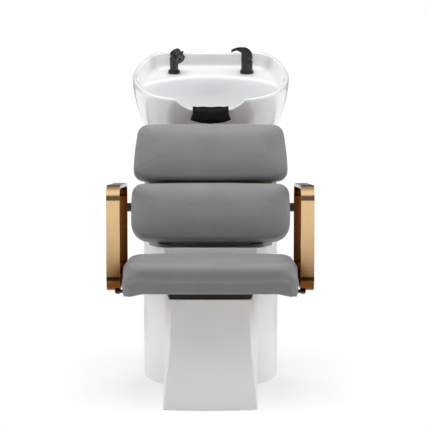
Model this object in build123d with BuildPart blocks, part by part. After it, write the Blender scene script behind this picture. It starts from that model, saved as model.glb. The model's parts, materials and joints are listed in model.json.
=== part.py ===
from build123d import *
from math import asin, cos, degrees, radians, sin, sqrt, tan
import os

os.makedirs("parts", exist_ok=True)

# A salon backwash unit: a fixed seat with two armrest loops, joined to a column that carries a
# tilting ceramic basin. The sitter looks along -Y, +X is on the right in the front view, +Z is up.
# The origin is on the floor, at the centre of the four anchor holes.

overrun = 2                     # how far a cutting solid passes the face that it opens
sheet_gap = 0.2                 # between curved shells that lie on each other

# Driving sizes of the seat and the arms
seat_front_y = -666
seat_depth = 450
seat_bottom_z = 354
seat_front_top_z = 439
seat_rear_top_z = 420
arm_span = 622                  # over the outer faces of both armrests
arm_bar_width = 40
arm_bar_thickness = 10
seat_arm_gap = 4                # between the seat cushion and each armrest
arm_front_y = -604
arm_bottom_z = 347
arm_front_top_z = 666
arm_rear_top_z = 640
arm_corner_radius = 46

# Driving sizes of the back
recline = 18                    # degrees from upright
back_foot_y = -150              # lower edge of the face that the cushions lie on
back_foot_z = 448
back_arm_gap = 15               # between the lumbar cushion and each armrest
lumbar_height = 186
cushion_gap = 3
upper_lower_inset = 6           # the upper cushion is narrower on each side, at its lower edge
upper_top_inset = 23            # and at its upper edge
upper_height = 190
cushion_thickness = 86
board_thickness = 15
upright_depth = 34

# Driving sizes of the column and the leg
column_width = 444
column_centre_y = 50
column_front_reach = 350        # semi-axis of the oval towards the seat
column_rear_reach = 250         # semi-axis of the oval towards the back
column_flat_y = -211            # where the oval is cut flat, behind the seat
column_top_z = 670
ledge_z = 440
shell_wall = 5
leg_root_half_width = 150       # where the leg meets the column
leg_top_z = 324

# Driving sizes of the basin
basin_tilt = 16                 # degrees, nose down
rim_front_z = 911
rim_half_width = 267
rim_length = 555
basin_depth = 212
basin_floor = 14                # ceramic under the drain
rim_wall = 14
deck_depth = 45
deck_thickness = 14
pivot_y = 120
pivot_z = 715

seat_width = arm_span - 2 * (arm_bar_width + seat_arm_gap)
lumbar_width = arm_span - 2 * (arm_bar_width + back_arm_gap)
upper_lower_width = lumbar_width - 2 * upper_lower_inset
upper_top_width = lumbar_width - 2 * upper_top_inset

tilt_sin = sin(radians(basin_tilt))
tilt_cos = cos(radians(basin_tilt))
lean_sin = sin(radians(recline))
lean_cos = cos(radians(recline))

# Planes that several pieces share
rim_plane = Plane(origin=(0, 0, rim_front_z), x_dir=(1, 0, 0), z_dir=(0, -tilt_sin, tilt_cos))
basin_side = Plane(origin=(0, 0, rim_front_z), x_dir=(0, tilt_cos, tilt_sin), z_dir=(1, 0, 0))
rim_axis = Axis((0, 0, rim_front_z), (0, -tilt_sin, tilt_cos))
back_plane = Plane(origin=(0, back_foot_y, back_foot_z), x_dir=(1, 0, 0),
                   z_dir=(0, -lean_cos, lean_sin))


def front_plane(y):
    """A plane that faces the front at depth y, with Z upwards in its sketches."""
    return Plane.XZ.offset(-y)


def back_point(up_slope, behind):
    """Y and Z of a point on the back, given its way up the slope and behind the cushion face."""
    return (back_foot_y + up_slope * lean_sin + behind * lean_cos,
            back_foot_z + up_slope * lean_cos - behind * lean_sin)


def back_y_at(z, behind):
    """Y where the plane that lies so far behind the cushion face reaches height z."""
    up_slope = (z - back_foot_z + behind * lean_sin) / lean_cos
    return back_point(up_slope, behind)[0]


def basin_frame(y, z):
    """How far along the rim plane, and above it, a point at y and z lies."""
    return (y * tilt_cos + (z - rim_front_z) * tilt_sin,
            -y * tilt_sin + (z - rim_front_z) * tilt_cos)


def finish(part, name):
    """Name a finished piece and write its file."""
    part.label = name
    export_step(part, f"parts/{name}.step")


# Steel base frame
plate_thickness = 8
anchor_spacing_x = 220
anchor_spacing_y = 200
anchor_hole_radius = 6
plate_width = 270
plate_front_y = -130
plate_rear_y = 165
plumbing_hole_radius = 52

with BuildPart() as floor_plate:
    with BuildSketch():
        with Locations((0, (plate_front_y + plate_rear_y) / 2)):
            RectangleRounded(plate_width, plate_rear_y - plate_front_y, plate_thickness)
        with GridLocations(anchor_spacing_x, anchor_spacing_y, 2, 2):
            Circle(anchor_hole_radius, mode=Mode.SUBTRACT)
        Circle(plumbing_hole_radius, mode=Mode.SUBTRACT)
    extrude(amount=plate_thickness)
finish(floor_plate.part, "floor_plate")

post_y = -560                   # centre of the front post
post_size = 60
foot_plate_width = 200
foot_plate_depth = 90
foot_hole_spacing = 160

with BuildPart() as front_foot_plate:
    with BuildSketch():
        with Locations((0, post_y)):
            RectangleRounded(foot_plate_width, foot_plate_depth, plate_thickness)
            with GridLocations(foot_hole_spacing, 0, 2, 1):
                Circle(anchor_hole_radius, mode=Mode.SUBTRACT)
    extrude(amount=plate_thickness)
finish(front_foot_plate.part, "front_foot_plate")

rail_size = 40
tube_wall = 4
rail_centre_x = post_size / 2 + rail_size / 2
rail_front_y = post_y - foot_plate_depth / 2
rail_rear_y = -80
rail_centre_z = plate_thickness + rail_size / 2

with BuildPart() as base_rails:
    with BuildSketch(front_plane(rail_front_y)):
        with Locations((-rail_centre_x, rail_centre_z), (rail_centre_x, rail_centre_z)):
            Rectangle(rail_size, rail_size)
            Rectangle(rail_size - 2 * tube_wall, rail_size - 2 * tube_wall, mode=Mode.SUBTRACT)
    extrude(amount=rail_front_y - rail_rear_y)
finish(base_rails.part, "base_rails")

beam_width = 100
beam_height = 60
beam_bottom_z = leg_top_z - beam_height

with BuildPart() as front_post:
    with BuildSketch(Plane.XY.offset(plate_thickness)):
        with Locations((0, post_y)):
            Rectangle(post_size, post_size)
            Rectangle(post_size - 2 * tube_wall, post_size - 2 * tube_wall, mode=Mode.SUBTRACT)
    extrude(amount=beam_bottom_z - plate_thickness)
finish(front_post.part, "front_post")

rear_post_y = 110
rear_post_depth = 60
tilt_bolt_spacing_x = 70
tilt_bolt_spacing_y = 36
tilt_bolt_radius = 4
rear_post_front_y = rear_post_y - rear_post_depth / 2

with BuildPart() as rear_post:
    with BuildSketch(Plane.XY.offset(plate_thickness)):
        with Locations((0, rear_post_y)):
            Rectangle(beam_width, rear_post_depth)
            Rectangle(beam_width - 2 * tube_wall, rear_post_depth - 2 * tube_wall,
                      mode=Mode.SUBTRACT)
    extrude(amount=column_top_z - 2 * plate_thickness)
    with BuildSketch(Plane.XY.offset(column_top_z - plate_thickness)):
        with Locations((0, rear_post_y)):
            Rectangle(beam_width, rear_post_depth)
            with GridLocations(tilt_bolt_spacing_x, tilt_bolt_spacing_y, 2, 2):
                Circle(tilt_bolt_radius, mode=Mode.SUBTRACT)
    extrude(amount=plate_thickness)
finish(rear_post.part, "rear_post")

with BuildPart() as seat_beam:
    with BuildSketch(front_plane(post_y - post_size / 2)):
        with Locations((0, leg_top_z - beam_height / 2)):
            Rectangle(beam_width, beam_height)
            Rectangle(beam_width - 2 * tube_wall, beam_height - 2 * tube_wall,
                      mode=Mode.SUBTRACT)
    extrude(amount=post_y - post_size / 2 - rear_post_front_y)
finish(seat_beam.part, "seat_beam")

# Back frame: a plate behind the shell, struts to the rear post, uprights in front of the shell
shell_behind = board_thickness + upright_depth
mount_thickness = 6
mount_behind = shell_behind + shell_wall
mount_width = 360
mount_low_s = 62
mount_high_s = 212
upright_width = 40
upright_x = 150
upright_low_s = 10
upright_high_s = 356
back_bolt_radius = 4
back_bolt_head = 7
back_bolt_head_height = 5
back_bolt_slopes = (88, 186)
back_bolt_grip = 18             # thread in the upright
board_screw_slopes = (40, 156, 240, 330)
board_screw_radius = 3
board_screw_head = 6
board_screw_head_height = 4
board_screw_grip = 12           # thread in the board

with BuildPart() as back_mount_plate:
    with BuildSketch(back_plane.offset(-mount_behind - mount_thickness)):
        with Locations((0, (mount_low_s + mount_high_s) / 2)):
            Rectangle(mount_width, mount_high_s - mount_low_s)
        for slope in back_bolt_slopes:
            with Locations((-upright_x, slope), (upright_x, slope)):
                Circle(back_bolt_radius, mode=Mode.SUBTRACT)
    extrude(amount=mount_thickness)
finish(back_mount_plate.part, "back_mount_plate")

strut_size = 40
strut_x = 28
strut_low_z = 520
strut_behind = mount_behind + mount_thickness

with BuildPart() as back_struts:
    for side in (-1, 1):
        with BuildSketch(Plane.YZ.offset(side * strut_x - strut_size / 2)):
            with BuildLine():
                Polyline((rear_post_front_y, strut_low_z),
                         (rear_post_front_y, strut_low_z + strut_size),
                         (back_y_at(strut_low_z + strut_size, strut_behind),
                          strut_low_z + strut_size),
                         (back_y_at(strut_low_z, strut_behind), strut_low_z), close=True)
            make_face()
        extrude(amount=strut_size)
finish(back_struts.part, "back_struts")

# The cross tube runs through the uprights and carries the rear bars of the armrests
cross_tube_radius = 14
cross_tube_wall = 2.5
cross_tube_slope = 129
cross_tube_y, cross_tube_z = back_point(cross_tube_slope, board_thickness + upright_depth / 2)
arm_inner_x = arm_span / 2 - arm_bar_width
cross_tube_clearance = 0.05

with BuildPart() as back_uprights:
    with BuildSketch(back_plane.offset(-shell_behind)):
        with Locations((-upright_x, (upright_low_s + upright_high_s) / 2),
                       (upright_x, (upright_low_s + upright_high_s) / 2)):
            Rectangle(upright_width, upright_high_s - upright_low_s)
        for slope in board_screw_slopes:
            with Locations((-upright_x, slope), (upright_x, slope)):
                Circle(board_screw_radius, mode=Mode.SUBTRACT)
    extrude(amount=upright_depth)
    with BuildSketch(back_plane.offset(-shell_behind)):
        for slope in back_bolt_slopes:
            with Locations((-upright_x, slope), (upright_x, slope)):
                Circle(back_bolt_radius)
    extrude(amount=back_bolt_grip, mode=Mode.SUBTRACT)
    with BuildSketch(back_plane.offset(-shell_behind)):
        for slope in board_screw_slopes:
            with Locations((-upright_x, slope), (upright_x, slope)):
                Circle(board_screw_head)
    extrude(amount=board_screw_head_height, mode=Mode.SUBTRACT)
    with BuildSketch(Plane.YZ.offset(-arm_inner_x)):
        with Locations((cross_tube_y, cross_tube_z)):
            Circle(cross_tube_radius + cross_tube_clearance)
    extrude(amount=2 * arm_inner_x, mode=Mode.SUBTRACT)
finish(back_uprights.part, "back_uprights")

with BuildPart() as arm_cross_tube:
    with BuildSketch(Plane.YZ.offset(-arm_inner_x)):
        with Locations((cross_tube_y, cross_tube_z)):
            Circle(cross_tube_radius)
            Circle(cross_tube_radius - cross_tube_wall, mode=Mode.SUBTRACT)
    extrude(amount=2 * arm_inner_x)
finish(arm_cross_tube.part, "arm_cross_tube")

plug_length = 30
side_bolt_radius = 3
side_bolt_head_radius = 4.8
side_bolt_head_height = 4

with BuildPart() as cross_tube_plugs:
    for side in (-1, 1):
        with BuildSketch(Plane.YZ.offset(side * (arm_inner_x - plug_length / 2))):
            with Locations((cross_tube_y, cross_tube_z)):
                Circle(cross_tube_radius - cross_tube_wall)
                Circle(side_bolt_radius, mode=Mode.SUBTRACT)
        extrude(amount=plug_length / 2, both=True)
finish(cross_tube_plugs.part, "cross_tube_plugs")

# Column shell: an oval cut flat behind the seat, and sloped behind the backrest
window_half_width = 112
access_half_width = 90
access_low_z = 80
access_high_z = 480


def column_oval(outset, flat_y):
    """The column's outline, moved out by outset: half an oval behind, and one cut flat in front."""
    half = column_width / 2 + outset
    front_reach = column_front_reach + outset
    flat_angle = degrees(asin((column_centre_y - flat_y) / front_reach))
    flat_half = half * cos(radians(flat_angle))
    with BuildSketch() as oval:
        with BuildLine():
            for start_angle in (0, 90):
                EllipticalCenterArc((0, column_centre_y), half, column_rear_reach + outset,
                                    start_angle=start_angle, arc_size=90)
            EllipticalCenterArc((0, column_centre_y), half, front_reach, start_angle=180,
                                arc_size=flat_angle)
            Line((-flat_half, flat_y), (flat_half, flat_y))
            EllipticalCenterArc((0, column_centre_y), half, front_reach,
                                start_angle=-flat_angle, arc_size=flat_angle)
        make_face()
    return oval.sketch


def column_solid(inset, top, flat_y, ledge, behind):
    """The solid oval of the column, moved in by inset, with the seat and back cut away."""
    half = column_width / 2 - inset
    with BuildPart() as solid:
        extrude(column_oval(-inset, flat_y), amount=top)
        with BuildSketch(Plane.YZ):
            with BuildLine():
                Polyline((flat_y - overrun, ledge), (back_y_at(ledge, behind), ledge),
                         (back_y_at(top + overrun, behind), top + overrun),
                         (flat_y - overrun, top + overrun), close=True)
            make_face()
        extrude(amount=half + overrun, both=True, mode=Mode.SUBTRACT)
    return solid.part


column_core = column_solid(shell_wall, column_top_z, column_flat_y + shell_wall,
                           ledge_z - shell_wall, mount_behind)

panel_thickness = 3
panel_margin = 15
panel_screw_inset = 7
panel_screw_radius = 2
panel_screw_head = 4.5
panel_screw_length = 14
panel_screw_x = access_half_width + panel_margin - panel_screw_inset
panel_low_z = access_low_z - panel_margin
panel_high_z = access_high_z + panel_margin


def rear_surface(x, outset):
    """Y of the column's rear face at x, for a shell that lies outset further out."""
    half = column_width / 2 + outset
    return column_centre_y + (column_rear_reach + outset) * sqrt(1 - (x / half) ** 2)


def panel_screw_plane(side, z):
    """A plane on the access panel that faces outwards, at one of its screws."""
    x = side * panel_screw_x
    outset = sheet_gap + panel_thickness
    y = rear_surface(x, outset)
    slope_x = x / (column_width / 2 + outset) ** 2
    slope_y = (y - column_centre_y) / (column_rear_reach + outset) ** 2
    return Plane(origin=(x, y, z), z_dir=(slope_x, slope_y, 0))


panel_screw_planes = [panel_screw_plane(side, z) for side in (-1, 1)
                      for z in (panel_low_z + panel_screw_inset, panel_high_z - panel_screw_inset)]

with BuildPart() as column_shell:
    add(column_solid(0, column_top_z, column_flat_y, ledge_z, shell_behind))
    add(column_core, mode=Mode.SUBTRACT)
    with BuildSketch(front_plane(column_flat_y - overrun)):
        with Locations((0, leg_top_z / 2)):
            Rectangle(2 * window_half_width, leg_top_z)
    extrude(amount=-shell_wall - 2 * overrun, mode=Mode.SUBTRACT)
    with BuildSketch(front_plane(column_centre_y)):
        with Locations((0, (access_low_z + access_high_z) / 2)):
            Rectangle(2 * access_half_width, access_high_z - access_low_z)
    extrude(amount=-column_rear_reach - overrun, mode=Mode.SUBTRACT)
    for slope in back_bolt_slopes:
        with BuildSketch(back_plane.offset(-shell_behind + overrun)):
            with Locations((-upright_x, slope), (upright_x, slope)):
                Circle(back_bolt_radius)
        extrude(amount=-shell_wall - 2 * overrun, mode=Mode.SUBTRACT)
    for plane in panel_screw_planes:
        with BuildSketch(plane):
            Circle(panel_screw_radius)
        extrude(amount=-panel_screw_length, mode=Mode.SUBTRACT)
finish(column_shell.part, "column_shell")

with BuildPart() as rear_access_panel:
    with BuildSketch(Plane.XY.offset(panel_low_z)):
        add(column_oval(sheet_gap + panel_thickness, column_flat_y))
        add(column_oval(sheet_gap, column_flat_y), mode=Mode.SUBTRACT)
        with Locations((0, column_centre_y + column_rear_reach)):
            Rectangle(2 * (access_half_width + panel_margin), column_rear_reach,
                      mode=Mode.INTERSECT)
    extrude(amount=panel_high_z - panel_low_z)
    for plane in panel_screw_planes:
        with BuildSketch(plane.offset(overrun)):
            Circle(panel_screw_radius)
        extrude(amount=-panel_thickness - 2 * overrun, mode=Mode.SUBTRACT)
finish(rear_access_panel.part, "rear_access_panel")

with BuildPart() as panel_screws:
    for plane in panel_screw_planes:
        with BuildSketch(plane):
            Circle(panel_screw_radius)
        extrude(amount=-panel_screw_length)
        with BuildSketch(plane):
            Circle(panel_screw_head)
        extrude(amount=panel_screw_radius)
finish(panel_screws.part, "panel_screws")

# Column cap: closes the top, with a slot for the hoses and holes for the tilt base
cap_thickness = 6
cap_front_y = back_y_at(column_top_z + cap_thickness, shell_behind)
hose_slot_width = 90
hose_slot_front_y = 165
hose_slot_rear_y = 282

with BuildPart() as column_cap:
    with BuildSketch(Plane.XY.offset(column_top_z)):
        add(column_oval(0, cap_front_y))
        with Locations((0, (hose_slot_front_y + hose_slot_rear_y) / 2)):
            RectangleRounded(hose_slot_width, hose_slot_rear_y - hose_slot_front_y,
                             plate_thickness, mode=Mode.SUBTRACT)
    extrude(amount=cap_thickness)
    with BuildSketch(Plane.XY.offset(column_top_z - overrun)):
        with Locations((0, rear_post_y)):
            with GridLocations(tilt_bolt_spacing_x, tilt_bolt_spacing_y, 2, 2):
                Circle(tilt_bolt_radius)
    extrude(amount=cap_thickness + 2 * overrun, mode=Mode.SUBTRACT)
finish(column_cap.part, "column_cap")

# Leg cover: a shell that narrows from the column, with a foot that flares forwards and sideways
leg_wall = 5
leg_corner_radius = 9
leg_heights_share = (0, 0.2, 0.43, 0.67, 1)
leg_half_widths = (141, 138, 129.5, 124.5, 123.5)
leg_corner_ys = (-661, -643, -624, -611, -604)
leg_bulges = (16, 13, 9, 6, 4)


def leg_solid(inset, rear_y):
    """The solid form of the leg, moved in by inset and ending at rear_y."""
    with BuildPart() as solid:
        for share, half, corner_y, bulge in zip(leg_heights_share, leg_half_widths,
                                                leg_corner_ys, leg_bulges):
            with BuildSketch(Plane.XY.offset(share * leg_top_z)) as section:
                with BuildLine():
                    left = (-half + inset, corner_y + inset)
                    right = (half - inset, corner_y + inset)
                    rear_left = (-leg_root_half_width + inset, rear_y)
                    rear_right = (leg_root_half_width - inset, rear_y)
                    Line(rear_right, rear_left)
                    Line(rear_left, left)
                    ThreePointArc(left, (0, corner_y - bulge + inset), right)
                    Line(right, rear_right)
                make_face()
                fillet(section.vertices().group_by(Axis.Y)[0], leg_corner_radius - inset)
        loft()
    return solid.part


with BuildPart() as leg_cover:
    add(leg_solid(0, column_flat_y))
    add(leg_solid(leg_wall, column_flat_y + overrun), mode=Mode.SUBTRACT)
finish(leg_cover.part, "leg_cover")

# Seat tray and the crossbars, each with a riser block under its middle
tray_front_y = -602
tray_bottom_half = 120
tray_top_half = 125
tray_wall = 3
crossbar_thickness = 6
crossbar_width = 40
crossbar_lap = 16               # of each bar's end under the armrest
crossbar_half_length = arm_inner_x + crossbar_lap
crossbar_front_y = -560
crossbar_rear_y = -270
crossbar_bottom_z = arm_bottom_z - crossbar_thickness
crossbar_ys = (crossbar_front_y, crossbar_rear_y)

with BuildPart() as seat_tray:
    with BuildSketch(front_plane(tray_front_y)):
        with BuildLine():
            Polyline((-tray_bottom_half, leg_top_z), (tray_bottom_half, leg_top_z),
                     (tray_top_half, arm_bottom_z), (-tray_top_half, arm_bottom_z), close=True)
        make_face()
    extrude(amount=tray_front_y - column_flat_y)
    with BuildSketch(front_plane(tray_front_y + tray_wall)):
        with BuildLine():
            Polyline((-tray_bottom_half + tray_wall, leg_top_z + tray_wall),
                     (tray_bottom_half - tray_wall, leg_top_z + tray_wall),
                     (tray_top_half - tray_wall, arm_bottom_z),
                     (-tray_top_half + tray_wall, arm_bottom_z), close=True)
        make_face()
    extrude(amount=tray_front_y - column_flat_y + 2 * tray_wall, mode=Mode.SUBTRACT)
    for bar_y in crossbar_ys:
        with BuildSketch(Plane.XY.offset(crossbar_bottom_z)):
            with Locations((0, bar_y)):
                Rectangle(2 * crossbar_half_length, crossbar_width)
        extrude(amount=crossbar_thickness, mode=Mode.SUBTRACT)
finish(seat_tray.part, "seat_tray")

arm_centre_x = arm_inner_x + arm_bar_width / 2
arm_bolt_x = arm_inner_x + crossbar_lap / 2
arm_bolt_radius = 4
arm_bolt_grip = 8
seat_bolt_x = 95
seat_bolt_grip = 12
bolt_head_radius = 6.5
bolt_head_height = 5

with BuildPart() as seat_crossbars:
    for bar_y in crossbar_ys:
        with BuildSketch(Plane.XY.offset(crossbar_bottom_z)):
            with Locations((0, bar_y)):
                Rectangle(2 * crossbar_half_length, crossbar_width)
            with Locations((-arm_bolt_x, bar_y), (arm_bolt_x, bar_y)):
                Circle(arm_bolt_radius, mode=Mode.SUBTRACT)
            with Locations((-seat_bolt_x, bar_y), (seat_bolt_x, bar_y)):
                Circle(arm_bolt_radius, mode=Mode.SUBTRACT)
        extrude(amount=crossbar_thickness)
        with BuildSketch(Plane.XY.offset(leg_top_z + tray_wall)):
            with Locations((0, bar_y)):
                Rectangle(beam_width, crossbar_width)
        extrude(amount=crossbar_bottom_z - leg_top_z - tray_wall)
finish(seat_crossbars.part, "seat_crossbars")

# Seat board and cushion
seat_rear_y = seat_front_y + seat_depth
seat_board_inset = 24
seat_board_front_y = seat_front_y + seat_board_inset
seat_board_rear_y = seat_rear_y - shell_wall
seat_board_width = seat_width - 2 * seat_board_inset

with BuildPart() as seat_board:
    with BuildSketch(Plane.XY.offset(arm_bottom_z)):
        with Locations((0, (seat_board_front_y + seat_board_rear_y) / 2)):
            RectangleRounded(seat_board_width, seat_board_rear_y - seat_board_front_y,
                             seat_board_inset)
        for bar_y in crossbar_ys:
            with Locations((-seat_bolt_x, bar_y), (seat_bolt_x, bar_y)):
                Circle(arm_bolt_radius, mode=Mode.SUBTRACT)
    extrude(amount=board_thickness)
finish(seat_board.part, "seat_board")

seat_crown = 6
waterfall_radius = 40
seat_rear_radius = 14
seat_front_bow = 8
seat_side_radius = 18
seat_plan_radius = 26
seat_plan_bow = 4
seat_top_slope = Plane(origin=(0, seat_front_y - overrun, seat_front_top_z), x_dir=(1, 0, 0),
                       z_dir=(0, -seat_depth, seat_front_top_z - seat_rear_top_z))

with BuildPart() as seat_cushion:
    with BuildSketch(Plane.YZ) as side_profile:
        with BuildLine():
            Polyline((seat_front_y + seat_front_bow / 2, seat_bottom_z),
                     (seat_rear_y, seat_bottom_z), (seat_rear_y, seat_rear_top_z + seat_crown),
                     (seat_front_y + seat_front_bow, seat_front_top_z + seat_crown))
            ThreePointArc((seat_front_y + seat_front_bow, seat_front_top_z + seat_crown),
                          (seat_front_y, (seat_bottom_z + seat_front_top_z) / 2),
                          (seat_front_y + seat_front_bow / 2, seat_bottom_z))
        make_face()
        top_corners = side_profile.vertices().sort_by(Axis.Y)[-2:].sort_by(Axis.X)
        fillet(top_corners[:1], waterfall_radius)
        fillet(side_profile.vertices().sort_by(Axis.Y)[-1:], seat_rear_radius)
    extrude(amount=seat_width / 2, both=True)
    with BuildSketch(seat_top_slope) as front_profile:
        with BuildLine():
            Polyline((-seat_width / 2, 0), (-seat_width / 2, -2 * seat_front_top_z),
                     (seat_width / 2, -2 * seat_front_top_z), (seat_width / 2, 0))
            ThreePointArc((seat_width / 2, 0), (0, seat_crown), (-seat_width / 2, 0))
        make_face()
        fillet(front_profile.vertices().sort_by(Axis.Y)[-2:], seat_side_radius)
    extrude(amount=-seat_depth - seat_front_top_z, both=True, mode=Mode.INTERSECT)
    with BuildSketch(Plane.XY) as plan:
        with BuildLine():
            Polyline((-seat_width / 2, seat_front_y + seat_plan_bow), (-seat_width / 2, seat_rear_y),
                     (seat_width / 2, seat_rear_y), (seat_width / 2, seat_front_y + seat_plan_bow))
            ThreePointArc((seat_width / 2, seat_front_y + seat_plan_bow), (0, seat_front_y),
                          (-seat_width / 2, seat_front_y + seat_plan_bow))
        make_face()
        fillet(plan.vertices(), seat_plan_radius)
    extrude(amount=2 * seat_front_top_z, mode=Mode.INTERSECT)
    with BuildSketch(Plane.XY.offset(arm_bottom_z)):
        with Locations((0, (seat_board_front_y + seat_board_rear_y) / 2)):
            RectangleRounded(seat_board_width, seat_board_rear_y - seat_board_front_y,
                             seat_board_inset)
    extrude(amount=board_thickness, mode=Mode.SUBTRACT)
finish(seat_cushion.part, "seat_cushion")

# Armrests: a closed loop of flat bar each, with a sloping top bar
arm_rear_y = cross_tube_y + arm_bar_thickness / 2
side_bolt_length = arm_bar_width + plug_length / 2


def armrest(side):
    """One armrest loop, on the left for -1 and on the right for 1."""
    with BuildPart() as loop:
        with BuildSketch(Plane.YZ.offset(side * arm_centre_x)) as outline:
            with BuildLine():
                Polyline((arm_front_y, arm_bottom_z), (arm_front_y, arm_front_top_z),
                         (arm_rear_y, arm_rear_top_z), (arm_rear_y, arm_bottom_z), close=True)
            make_face()
            fillet(outline.vertices(), arm_corner_radius)
            offset(amount=-arm_bar_thickness, mode=Mode.SUBTRACT)
        extrude(amount=arm_bar_width / 2, both=True)
        with BuildSketch(Plane.YZ.offset(side * arm_inner_x)):
            with Locations((cross_tube_y, cross_tube_z)):
                Circle(side_bolt_radius)
        extrude(amount=side * arm_bar_width, mode=Mode.SUBTRACT)
        for bar_y in crossbar_ys:
            with BuildSketch(Plane.XY.offset(arm_bottom_z)):
                with Locations((side * arm_bolt_x, bar_y)):
                    Circle(arm_bolt_radius)
            extrude(amount=arm_bolt_grip, mode=Mode.SUBTRACT)
    return loop.part


finish(armrest(-1), "armrest_left")
finish(armrest(1), "armrest_right")

with BuildPart() as arm_side_bolts:
    for side in (-1, 1):
        with BuildSketch(Plane.YZ.offset(side * arm_span / 2)):
            with Locations((cross_tube_y, cross_tube_z)):
                Circle(side_bolt_radius)
        extrude(amount=-side * side_bolt_length)
        with BuildSketch(Plane.YZ.offset(side * arm_span / 2)):
            with Locations((cross_tube_y, cross_tube_z)):
                Circle(side_bolt_head_radius)
        extrude(amount=side * side_bolt_head_height)
finish(arm_side_bolts.part, "arm_side_bolts")

with BuildPart() as crossbar_bolts:
    for bar_y in crossbar_ys:
        for bolt_x, grip in ((-arm_bolt_x, arm_bolt_grip), (arm_bolt_x, arm_bolt_grip),
                             (-seat_bolt_x, seat_bolt_grip), (seat_bolt_x, seat_bolt_grip)):
            with BuildSketch(Plane.XY.offset(crossbar_bottom_z)):
                with Locations((bolt_x, bar_y)):
                    Circle(arm_bolt_radius)
            extrude(amount=crossbar_thickness + grip)
            with BuildSketch(Plane.XY.offset(crossbar_bottom_z)):
                with Locations((bolt_x, bar_y)):
                    RegularPolygon(bolt_head_radius, 6)
            extrude(amount=-bolt_head_height)
finish(crossbar_bolts.part, "crossbar_bolts")

# Bolts that clamp the uprights, the shell and the mounting plate, and the screws of the boards
with BuildPart() as back_bolts:
    for slope in back_bolt_slopes:
        for side in (-1, 1):
            with BuildSketch(back_plane.offset(-strut_behind)):
                with Locations((side * upright_x, slope)):
                    Circle(back_bolt_radius)
            extrude(amount=mount_thickness + shell_wall + back_bolt_grip)
            with BuildSketch(back_plane.offset(-strut_behind)):
                with Locations((side * upright_x, slope)):
                    RegularPolygon(back_bolt_head, 6)
            extrude(amount=-back_bolt_head_height)
finish(back_bolts.part, "back_bolts")

with BuildPart() as board_screws:
    for slope in board_screw_slopes:
        for side in (-1, 1):
            with BuildSketch(back_plane.offset(-shell_behind)):
                with Locations((side * upright_x, slope)):
                    Circle(board_screw_head)
            extrude(amount=board_screw_head_height)
            with BuildSketch(back_plane.offset(-shell_behind)):
                with Locations((side * upright_x, slope)):
                    Circle(board_screw_radius)
            extrude(amount=upright_depth + board_screw_grip)
finish(board_screws.part, "board_screws")

# Back boards and cushions
upper_low_s = lumbar_height + cushion_gap
board_inset = 14
board_radius = 30


def back_board(width, low_s, high_s, screw_slopes):
    """A plywood board that one back cushion is upholstered on."""
    with BuildPart() as board:
        with BuildSketch(back_plane.offset(-board_thickness)):
            with Locations((0, (low_s + high_s) / 2)):
                RectangleRounded(width - 2 * board_inset, high_s - low_s - 2 * board_inset,
                                 board_radius)
            for slope in screw_slopes:
                with Locations((-upright_x, slope), (upright_x, slope)):
                    Circle(board_screw_radius, mode=Mode.SUBTRACT)
        extrude(amount=board_thickness)
    return board.part


finish(back_board(lumbar_width, 0, lumbar_height, board_screw_slopes[:2]), "lumbar_board")
finish(back_board(upper_top_width, upper_low_s, upper_low_s + upper_height,
                  board_screw_slopes[2:]), "upper_board")

cushion_low_radius = 58
cushion_top_radius = 34
cushion_side_bow = 4
cushion_depth_shares = (0, 0.1, 0.42, 0.72, 0.9, 1)
cushion_insets = (12, 3, 0, 5, 22, 70)


def back_cushion(low_width, high_width, low_s, high_s, low_radius, high_radius):
    """A crowned back cushion whose sides draw in towards its face and its board."""
    with BuildPart() as cushion:
        for share, inset in zip(cushion_depth_shares, cushion_insets):
            with BuildSketch(back_plane.offset(share * cushion_thickness)) as section:
                low_half = low_width / 2 - inset
                high_half = high_width / 2 - inset
                low = low_s + inset
                high = high_s - inset
                middle_half = (low_half + high_half) / 2 + cushion_side_bow
                with BuildLine():
                    ThreePointArc((-low_half, low + cushion_side_bow), (0, low),
                                  (low_half, low + cushion_side_bow))
                    ThreePointArc((low_half, low + cushion_side_bow),
                                  (middle_half, (low + high) / 2),
                                  (high_half, high - cushion_side_bow))
                    ThreePointArc((high_half, high - cushion_side_bow), (0, high),
                                  (-high_half, high - cushion_side_bow))
                    ThreePointArc((-high_half, high - cushion_side_bow),
                                  (-middle_half, (low + high) / 2),
                                  (-low_half, low + cushion_side_bow))
                make_face()
                shrink = 1 - 2 * inset / (high_s - low_s)
                fillet(section.vertices().sort_by(Axis.Y)[:2], low_radius * shrink)
                fillet(section.vertices().sort_by(Axis.Y)[-2:], high_radius * shrink)
        loft()
    return cushion.part


finish(back_cushion(lumbar_width - 2 * cushion_side_bow, lumbar_width - 2 * cushion_side_bow,
                    0, lumbar_height, cushion_low_radius, cushion_top_radius), "lumbar_cushion")
finish(back_cushion(upper_lower_width, upper_top_width, upper_low_s, upper_low_s + upper_height,
                    cushion_top_radius, cushion_top_radius), "upper_cushion")

# Basin: outlines are shares of the half width and of the length, from the front centre to the
# back centre, mirrored
rim_shares = ((0, 0), (0.22, 0.002), (0.42, 0.008), (0.54, 0.018), (0.65, 0.048),
              (0.79, 0.117), (0.91, 0.253), (0.975, 0.371), (1, 0.48), (0.99, 0.587),
              (0.935, 0.723), (0.84, 0.862), (0.742, 0.952), (0.627, 0.988), (0.5, 0.999),
              (0.26, 1), (0, 0.998))
bowl_shares = ((0, 0), (0.22, 0.003), (0.42, 0.013), (0.62, 0.05), (0.79, 0.14),
               (0.92, 0.3), (0.99, 0.48), (0.99, 0.61), (0.93, 0.735), (0.8, 0.825),
               (0.62, 0.9), (0.33, 0.972), (0, 1))

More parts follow.
